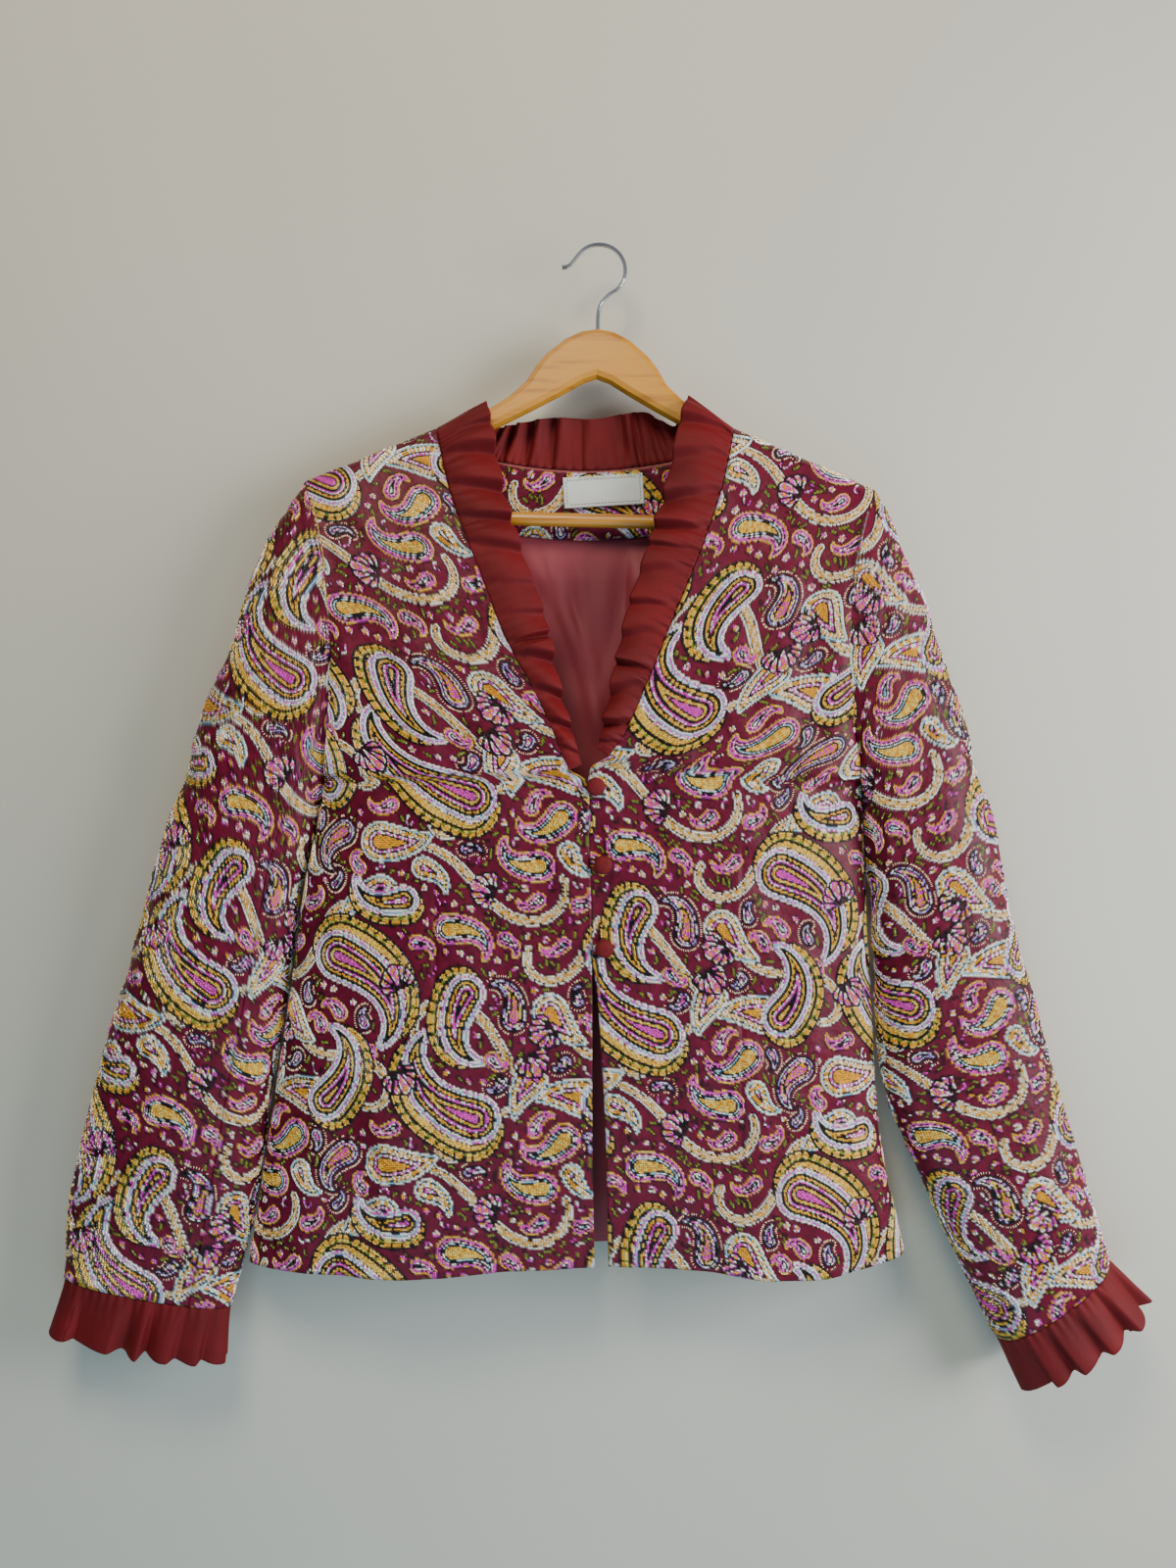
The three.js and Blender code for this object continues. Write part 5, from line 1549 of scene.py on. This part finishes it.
@dataclass
class Label:
    """The blank label inside the neck, with its row of running stitches.

    Attributes:
        width, height: its size.
        x, down: its middle.
        tilt: its turn, in degrees.
        inset, pitch, dash, gauge: the stitches' distance from its edge, spacing, length and radius.
    """

    width: float = 62.0
    height: float = 24.0
    x: float = 3.0
    down: float = 184.0
    tilt: float = 3.5
    inset: float = 2.6
    pitch: float = 2.6
    dash: float = 1.6
    gauge: float = 0.32

    def build(self, kit: Dressing) -> None:
        """Builds the tape and its stitches."""
        width, height, tilt = self.width, self.height, math.radians(self.tilt)
        front_of_node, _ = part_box("label")
        y = float(front_of_node.y) / MM

        def on_label(u: Array, w: Array, rise: float) -> Array:
            """Points on the label, u across and w up from its middle."""
            bend = 0.25 * np.cos(u / 9)
            return place(self.x + u * math.cos(tilt) - w * math.sin(tilt), y + LABEL - rise - bend * 0.3,
                         self.down - u * math.sin(tilt) - w * math.cos(tilt))

        u, w = np.meshgrid(np.linspace(-width / 2, width / 2, 60), np.linspace(height / 2, -height / 2, 24))
        points = on_label(u, w, 0.0)
        sheet = Sheet(points, np.broadcast_to([0.0, 1.0, 0.0], points.shape))
        label = shell("label_tape", sheet, 0.0, LABEL, 2)
        kit.finish(label, Slot.LABEL, kit.label, kit.label, nodes=["label"])
        reach = np.array([width / 2 - self.inset, height / 2 - self.inset])
        corners = np.array([(-1, 1), (1, 1), (1, -1), (-1, -1), (-1, 1)]) * reach
        stitches = []
        for a, b in zip(corners[:-1], corners[1:]):
            length = np.linalg.norm(b - a)
            for k in range(int(length / self.pitch)):
                s = (k + 0.2) * self.pitch
                stitches.append((a + (b - a) * s / length, a + (b - a) * (s + self.dash) / length))
        ring = np.linspace(0, 2 * math.pi, 6, endpoint=False)
        vertices, quads = [], []
        for start, end in stitches:
            t = np.linspace(0, 1, 5)
            line = start + (end - start) * t[:, None]
            swell = self.gauge * np.sin(math.pi * (0.12 + 0.76 * t))
            across = np.array([-(end - start)[1], (end - start)[0]]) / np.linalg.norm(end - start)
            flat = line[:, None] + across * (np.cos(ring)[None, :, None] * swell[:, None, None])
            tube = on_label(flat[..., 0], flat[..., 1], 0.15)
            tube[..., 1] += np.sin(ring)[None] * swell[:, None]
            quads.append(grid_faces(5, 6, 30 * len(vertices), True, False))
            vertices.append(tube.reshape(-1, 3))
        rows = np.concatenate(vertices)
        thread = make_mesh("label_stitching", rows, np.concatenate(quads), np.zeros((0, 3), int))
        dark, n, shader = material("label_thread", Slot.LABEL, Roughness=0.6)
        where = n.where()
        n.two_tone(shader, n.noise(where, 900.0), srgb("39424a"), srgb("5a646c"))
        kit.finish(thread, Slot.LABEL, dark)


@dataclass
class Sleeve:
    """One sleeve: a tube of rings that fan from the armhole, cut into upper and under pieces.

    Attributes:
        side: the wearer's side.
        front_seam, back_seam: angles of the seams round the ring, from the outer point.
        names: what the piece from the back seam over the outer point is called, and the other.
        rows: points down its length.
        flatness: the depth of the tube's front over half its width.
    """

    side: Side
    front_seam: float
    back_seam: float
    names: tuple
    rows: int = 400
    flatness: float = 0.6

    def points(self, angles: Array) -> Array:
        """Points of the whole length at angles round the ring."""
        where = (np.linspace(0, 1, self.rows) * LAST_RING)[:, None]
        return tube_points(self.side, where, angles[None])

    def _creases(self, sheet: Sheet, angles: Array) -> None:
        """Folds: long soft ones down the sleeve, and slanting ones inside the elbow."""
        p = sheet.points
        where = np.linspace(0, 1, self.rows)[:, None]
        free = np.clip(where * 12, 0, 1) * np.clip((1 - where) * 14, 0, 1)
        around = angles[None] * 55
        lengthwise = 1.5 * ripples(around * 1.3, where * 330, 40 + self.side.value, 150)
        elbow = np.zeros_like(p[..., 0])
        for k, (at, slant, depth, width) in enumerate(SLEEVE_CREASES):
            line = where - at - slant * np.cos(angles)[None]
            round_it = np.abs(np.sin(angles))[None] - 0.2 - 0.1 * (k % 3)
            elbow += depth * bell(line, width) * bell(round_it, 0.6)
        small = 0.45 * ripples(around, where * 560, 50 + self.side.value, 40)
        sheet.points = p + sheet.normals * (free * (lengthwise + elbow * 1.1 + small))[..., None]
        sheet.refresh()

    def build(self, kit: Dressing) -> None:
        """Builds both pieces."""
        front, rear = math.radians(self.front_seam), math.radians(self.back_seam)
        spans = ((rear - 2 * math.pi, front), (front, rear))
        middle = self._axis()
        for name, (a, b) in zip(self.names, spans):
            angles = self._even_angles(a, b)
            points = self.points(angles)
            sheet = Sheet(points, middle - points)
            self._creases(sheet, angles)
            u, v = self._unrolled(points, angles)
            piece = f"sleeve_{name}_{self.side.key}"
            thing = kit.embroider(f"{piece}_cloth", sheet, u, v, piece)

    def _even_angles(self, a: float, b: float, pitch: float = 2.1) -> Array:
        """Angles from a to b at even steps of length round the middle ring."""
        fine = np.linspace(a, b, 2400)
        middle = self.points(fine)[self.rows // 2]
        length = run_length(middle)
        return np.interp(np.linspace(0, length[-1], int(length[-1] / pitch)), length, fine)

    def _unrolled(self, points: Array, angles: Array) -> tuple[Array, Array]:
        """The pattern's places: the tube is unrolled about the sleeve's straight direction.

        Across that direction the tube is a superellipse between its outer and inner lines. A place
        is as far from its middle as the arc from the middle of the front face, which goes on round
        the outer line on the piece that holds it, and round the inner line on the other.

        Args:
            points: the piece's grid.
            angles: its angles round the ring.

        Returns:
            Lengths round the tube, and down it.
        """
        line = self._axis()
        axis = line[-1, 0] - line[0, 0]
        axis[1] = 0
        axis /= np.linalg.norm(axis)
        side = np.cross(axis, [0.0, 1.0, 0.0])
        edges = self.points(np.array([0.0, math.pi]))
        v = points @ axis
        outer, inner = (np.interp(v, edges[:, k] @ axis, edges[:, k] @ side) for k in (0, 1))
        half, middle = (outer - inner) / 2, (outer + inner) / 2
        t = np.clip((points @ side - middle) / half, -1, 1)
        fine = np.sin(np.linspace(0, math.pi / 2, 200))
        steps = np.hypot(np.diff(fine), np.diff(self.flatness * fullness(fine, SLEEVE_FULLNESS)))
        arc = np.interp(np.abs(t), fine, np.concatenate([[0], np.cumsum(steps)])) * np.sign(t)
        wraps_outer = math.cos((angles[0] + angles[-1]) / 2) > 0
        behind = (2 if wraps_outer else -2) * steps.sum() - arc
        arc = np.where(np.sin(angles)[None] >= 0, arc, behind)
        return middle + half * arc + 90, v + 40

    def _axis(self) -> Array:
        """The middle of each ring's chord."""
        where = (np.linspace(0, 1, self.rows) * LAST_RING)[:, None]
        value = lambda column: curve(SLEEVE_RINGS[self.side], column, where)
        return place((value(1) + value(3)) / 2, value(8), (value(2) + value(4)) / 2)


def pleat_wave(phase: Array) -> Array:
    """A pleat's section from -1 to 1: a slow rounded rise, then a quick fall under the next pleat."""
    turn = phase / (2 * math.pi) % 1.0
    rise = np.sin(np.minimum(turn / 0.76, 1) * math.pi / 2) ** 1.2
    fall = 0.5 * (1 + np.cos(np.clip((turn - 0.76) / 0.24, 0, 1) * math.pi))
    return 2 * rise * fall - 1


@dataclass
class NeckRuffle:
    """A pleated strip of doubled chiffon between the neck seam and its free edge.

    Attributes:
        name: the CAD node that it replaces.
        seam: gives points of the seam at fractions along it.
        edge: the free edge: fraction, x, distance down and y.
        outward: roughly the direction that the strip faces.
        folds, roll, edge_wave: how many pleats, the strip's bulge, and the pleats' depth at its edge.
        seed: picks the pleats' uneven widths and depths.
        slant: how far the pleats lean, in radians of their wave.
        columns, cross: points along and across.
    """

    name: str
    seam: Callable
    edge: Sequence[Sequence[float]]
    outward: tuple
    folds: int
    roll: float
    edge_wave: float
    seed: int
    slant: float = 3.6
    columns: int = 520
    cross: int = 26

    def build(self, kit: Dressing) -> None:
        """Builds the strip; each fold is as deep at the free edge as its own random measure says."""
        step = np.linspace(0, 1, self.columns)
        along = mix(step, 0.5 * (1 - np.cos(math.pi * step)), 0.5)
        w = np.linspace(0, 1, self.cross)[:, None]
        start = self.seam(along)
        end = place(*(curve(self.edge, c, along) for c in (1, 3, 2)))
        ahead = np.gradient(start, axis=0)
        up = np.cross(end - start, ahead)
        up /= np.linalg.norm(up, axis=1, keepdims=True)
        up[np.sum(up * np.array(self.outward), axis=1) < 0] *= -1
        rng = np.random.default_rng(self.seed)
        knots = np.concatenate([[0], np.cumsum(rng.uniform(0.45, 1.8, self.folds))])
        turns = np.interp(step, knots / knots[-1], np.arange(self.folds + 1))
        measure = np.interp(step, knots / knots[-1], rng.uniform(0.2, 1.35, self.folds + 1))
        ends = np.minimum(1, np.minimum(9 * step, 9 * (1 - step)))
        phase = 2 * math.pi * turns - self.slant * w
        main = pleat_wave(phase) * measure
        gathers = np.sin(2 * math.pi * 3.1 * turns + 3 * measure) * np.exp(-w * 3.4) * 0.8
        height = mix(1.0, self.edge_wave, w**0.7) * main * 0.6 + gathers
        roll = self.roll * np.sin(math.pi * w)
        ragged = 1 + 0.035 * main * ends
        reach = np.clip(w * ragged, 0.0, 1.05)
        points = mix(start[None], end[None], (0.012 + 0.988 * reach)[..., None])
        points = points + up[None] * (ends * (height + roll))[..., None]
        sheet = Sheet(points, -np.broadcast_to(np.array(self.outward), points.shape))
        thing = shell(f"{self.name}_chiffon", sheet, 0.0, CHIFFON, 2)
        kit.finish(thing, Slot.CHIFFON, kit.chiffon, kit.chiffon, nodes=[self.name])


@dataclass
class CuffRuffle:
    """A gathered ring of doubled chiffon round a cuff.

    Attributes:
        side: the wearer's side.
        depth: length from the cuff seam to the edge.
        waves, flare, edge_wave: how many waves, how far the ring widens, and their depth at its edge.
        columns, cross: points round it and down it.
    """

    side: Side
    depth: float = 39.0
    waves: int = 11
    flare: float = 5.0
    edge_wave: float = 6.2
    columns: int = 420
    cross: int = 24

    def build(self, kit: Dressing) -> None:
        """Builds the ring: a wavy cone whose waves grow from the cuff seam to the edge."""
        rows = SLEEVE_RINGS[self.side]
        fine = np.linspace(0, 2 * math.pi, 1441)
        ring = tube_points(self.side, np.full_like(fine, LAST_RING), fine)
        length = run_length(ring)
        even = np.linspace(0, length[-1], self.columns, endpoint=False)
        top = np.stack([np.interp(even, length, ring[:, k]) for k in range(3)], -1)
        last = rows[-1]
        chord = np.array([last[3] - last[1], 0.0, last[2] - last[4]])
        axis = np.cross([0.0, 1.0, 0.0], chord)
        axis /= np.linalg.norm(axis)
        if axis[2] > 0:
            axis = -axis
        middle = np.array([(last[1] + last[3]) / 2, last[8], -(last[2] + last[4]) / 2])
        outward = np.cross(np.roll(top, -1, axis=0) - np.roll(top, 1, axis=0), axis)
        outward /= np.linalg.norm(outward, axis=1, keepdims=True)
        outward[np.sum(outward * (top - middle), axis=1) < 0] *= -1
        step = np.arange(self.columns) / self.columns
        w = np.linspace(0, 1, self.cross)[:, None]
        rng = np.random.default_rng(60 + self.side.value)
        knots = np.concatenate([[0], np.cumsum(rng.uniform(0.5, 1.7, self.waves))])
        measure = rng.uniform(0.4, 1.25, self.waves + 1)
        measure[-1] = measure[0]
        size = np.interp(step, knots / knots[-1], measure)
        phase = 2 * math.pi * np.interp(step, knots / knots[-1], np.arange(self.waves + 1)) + 0.5 * w
        gathers = 0.5 * np.sin(2 * math.pi * 41 * step) * np.exp(-5 * w)
        wave_depth = mix(0.6, self.edge_wave, w**0.8)
        height = self.flare * w + wave_depth * pleat_wave(phase) * size * 0.85 + gathers - 0.5
        drop = SEAM_GAP + 0.1 + w * self.depth * (1 + 0.045 * pleat_wave(phase) * size)
        points = top[None] + axis * drop[..., None] + outward[None] * height[..., None]
        sheet = Sheet(points, middle - points, closed=True)
        name = f"cuff_ruffle_{self.side.key}"
        thing = shell(f"{name}_chiffon", sheet, 0.0, CHIFFON, 2)
        kit.finish(thing, Slot.CHIFFON, kit.chiffon, kit.chiffon, nodes=[name])


@dataclass
class Buttons:
    """Covered buttons: a puffed disc whose cover is gathered under its rim, on a short shank.

    Attributes:
        radius, dome: size of the disc.
        shank, shank_radius: size of the shank.
        around: points round each ring.
    """

    radius: float = 6.8
    dome: float = 4.6
    shank: float = 4.0
    shank_radius: float = 2.2
    around: int = 64

    def build(self, kit: Dressing) -> None:
        """Builds each button as a turned profile, and dresses the loops."""
        profile = np.array([
            (0.0, 0.0), (0.7, 0.0), (1.0, 0.04), (1.0, 0.42), (1.15, 0.46), (2.2, 0.455), (2.6, 0.49),
            (2.85, 0.55), (2.96, 0.62), (2.9, 0.72), (2.66, 0.82), (2.25, 0.9), (1.7, 0.955), (0.95, 0.99),
            (0.0, 1.0),
        ])
        radii = np.where(profile[:, 0] <= 1.0, profile[:, 0] * self.shank_radius,
                         self.shank_radius + (profile[:, 0] - 1) / 1.96 * (self.radius - self.shank_radius))
        rise = profile[:, 1] * (self.shank + self.dome)
        keys = np.linspace(0, 1, len(profile))
        fine = np.linspace(0, 1, 46)
        radii = np.maximum(curve(np.stack([keys, radii], -1), 1, fine), 0.02)
        rise = curve(np.stack([keys, rise], -1), 1, fine)
        seat = -CHEST_DEPTH + UNDERLAP - 1.2
        angle = np.linspace(0, 2 * math.pi, self.around, endpoint=False)
        for k, (x, down) in enumerate(BUTTON_PLACES):
            pucker = 1 + 0.012 * np.sin(16 * angle + k)[None] * bell(rise - 4.4, 1.1)[:, None]
            r = radii[:, None] * pucker
            points = place(x + r * np.cos(angle), (seat - rise)[:, None] + 0 * r, down + r * np.sin(angle))
            rows, cols = points.shape[:2]
            quads = grid_faces(rows, cols, 0, True, True)
            hub = np.array([[x, seat, -down], [x, seat - rise[-1], -down]])
            base = rows * cols
            c = np.arange(cols)
            foot = np.stack([c, (c + 1) % cols, np.full(cols, base)], -1)
            crown = np.stack([(c + 1) % cols, c, np.full(cols, 0)], -1) + (rows - 1) * cols
            crown[:, 2] = base + 1
            thing = make_mesh(f"button_{k + 1}_cover", np.concatenate([points.reshape(-1, 3), hub]), quads,
                              np.concatenate([foot, crown]))
            kit.finish(thing, Slot.BUTTON, kit.crepe, nodes=[f"button_{k + 1}"])
            dress_node(f"button_loop_{k + 1}", kit.crepe)


def dress_node(name: str, made: bpy.types.Material) -> None:
    """Gives a kept CAD node its material."""
    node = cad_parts[name]
    node.data.materials.clear()
    node.data.materials.append(made)
    log.info("%s keeps its own form", name)


@dataclass
class Room:
    """A plain pale wall and floor, soft light, and the camera at the photograph's place.

    Attributes:
        wall_y, floor_z: places of the wall and the floor, in metres.
        eye: the camera's place, in metres.
        lens: its focal length.
    """

    wall_y: float = 0.034
    floor_z: float = -1.45
    eye: tuple = (-0.009, -0.900, -0.411)
    lens: float = 27.0

    def build(self) -> None:
        """Builds the stage, lamps and camera."""
        self._wall()
        self._lamps()
        data = bpy.data.cameras.new("camera")
        data.lens = self.lens
        data.sensor_width = 36.0
        data.clip_start = 0.01
        eye = bpy.data.objects.new("camera", data)
        eye.location = self.eye
        eye.rotation_euler = (math.pi / 2, 0, 0)
        bpy.context.scene.collection.objects.link(eye)
        bpy.context.scene.camera = eye

    def _wall(self) -> None:
        """Builds wall and floor as one sheet, turned in a quarter circle at the foot, clear from behind."""
        radius = 0.25
        turn = np.linspace(0, math.pi / 2, 14)
        y = np.concatenate([[self.wall_y], self.wall_y - radius * (1 - np.cos(turn)), [-4.0]])
        z = np.concatenate([[1.6], self.floor_z + radius * (1 - np.sin(turn)), [self.floor_z]])
        x = np.linspace(-3, 3, 9)
        points = np.stack(np.broadcast_arrays(x[None], y[:, None], z[:, None]), -1) / MM
        wall = make_mesh("backdrop", points.reshape(-1, 3), grid_faces(len(y), len(x), 0, False, False),
                         np.zeros((0, 3), int))
        made = bpy.data.materials.new("pale_paint")
        made.use_nodes = True
        n = Nodes(made.node_tree)
        shader = made.node_tree.nodes["Principled BSDF"]
        shader.inputs["Roughness"].default_value = 0.85
        where = n.where()
        n.two_tone(shader, n.noise(where, 3.0), srgb("a5a298"), srgb("aca9a0"))
        see_through = n.add("ShaderNodeBsdfTransparent")
        blend = n.add("ShaderNodeMixShader")
        n.link(n.add("ShaderNodeNewGeometry").outputs["Backfacing"], blend.inputs[0])
        n.link(shader.outputs[0], blend.inputs[1])
        n.link(see_through.outputs[0], blend.inputs[2])
        n.link(blend.outputs[0], made.node_tree.nodes["Material Output"].inputs["Surface"])
        wall.data.materials.append(made)
        wall.visible_shadow = False

    def _lamps(self) -> None:
        """Soft lamps: one above on the left, a wide fill, a cooler one low down, and one for the back."""
        lamps = (
            ("key", (-0.28, -1.15, 0.75), (0.05, 0.0, -0.45), 0.5, 23.5, (1.0, 0.89, 0.68)),
            ("window", (1.2, -0.72, -0.3), (0.2, 0.0, -0.42), 0.8, 34.0, (0.95, 0.98, 1.0)),
            ("low", (-0.1, -1.0, -1.35), (0.0, 0.0, -0.85), 1.0, 10.5, (0.4, 0.76, 1.0)),
            ("back", (0.5, 1.6, 0.5), (0.0, 0.0, -0.45), 1.5, 16.0, (1.0, 0.97, 0.92)),
        )
        for name, spot, aim, size, power, colour in lamps:
            data = bpy.data.lights.new(name, "AREA")
            data.size = size
            data.energy = power
            data.color = colour
            lamp = bpy.data.objects.new(name, data)
            lamp.location = spot
            d = np.array(aim) - np.array(spot)
            lamp.rotation_euler = (math.atan2(math.hypot(d[0], d[1]), -d[2]), 0, math.atan2(-d[0], d[1]))
            bpy.context.scene.collection.objects.link(lamp)
        world = bpy.data.worlds.new("room")
        world.use_nodes = True
        world.node_tree.nodes["Background"].inputs[0].default_value = (0.9, 0.93, 1.0, 1)
        world.node_tree.nodes["Background"].inputs[1].default_value = 0.26
        bpy.context.scene.world = world


def main() -> None:
    """Builds every piece in order."""
    Room().build()
    kit = Dressing()
    log.info("finishes and tile made")
    for side in Side:
        Front(side).build(kit)
    back = Back()
    back.build(kit)
    Sleeve(Side.RIGHT, 120.0, 280.0, ("upper", "under")).build(kit)
    Sleeve(Side.LEFT, 10.0, 205.0, ("under", "upper")).build(kit)
    for side in Side:
        NeckRuffle(f"neck_ruffle_{side.key}", lambda t, s=side: neckline(s, t), RUFFLE_EDGE[side],
                   (0.0, -1.0, 0.3), 13, 3.0, 8.5, 70 + side.value).build(kit)
        CuffRuffle(side).build(kit)

    def back_seam(along: Array) -> Array:
        """Points of the back neckline."""
        x = mix(NECK_POINT[Side.RIGHT][0], NECK_POINT[Side.LEFT][0], along)
        x, down, stand = back.top(back_fraction(x))
        return place(x, stand, down)

    NeckRuffle("neck_ruffle_back", back_seam, BACK_RUFFLE_EDGE, (0.0, 1.0, 0.3),
               11, 1.0, 6.5, 77, 1.0).build(kit)
    Buttons().build(kit)
    dress_node("hanger_arms", kit.wood)
    dress_node("hanger_bar", kit.rod)
    dress_node("hanger_hook", kit.wire)
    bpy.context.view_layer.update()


if __name__ == "__main__":
    main()
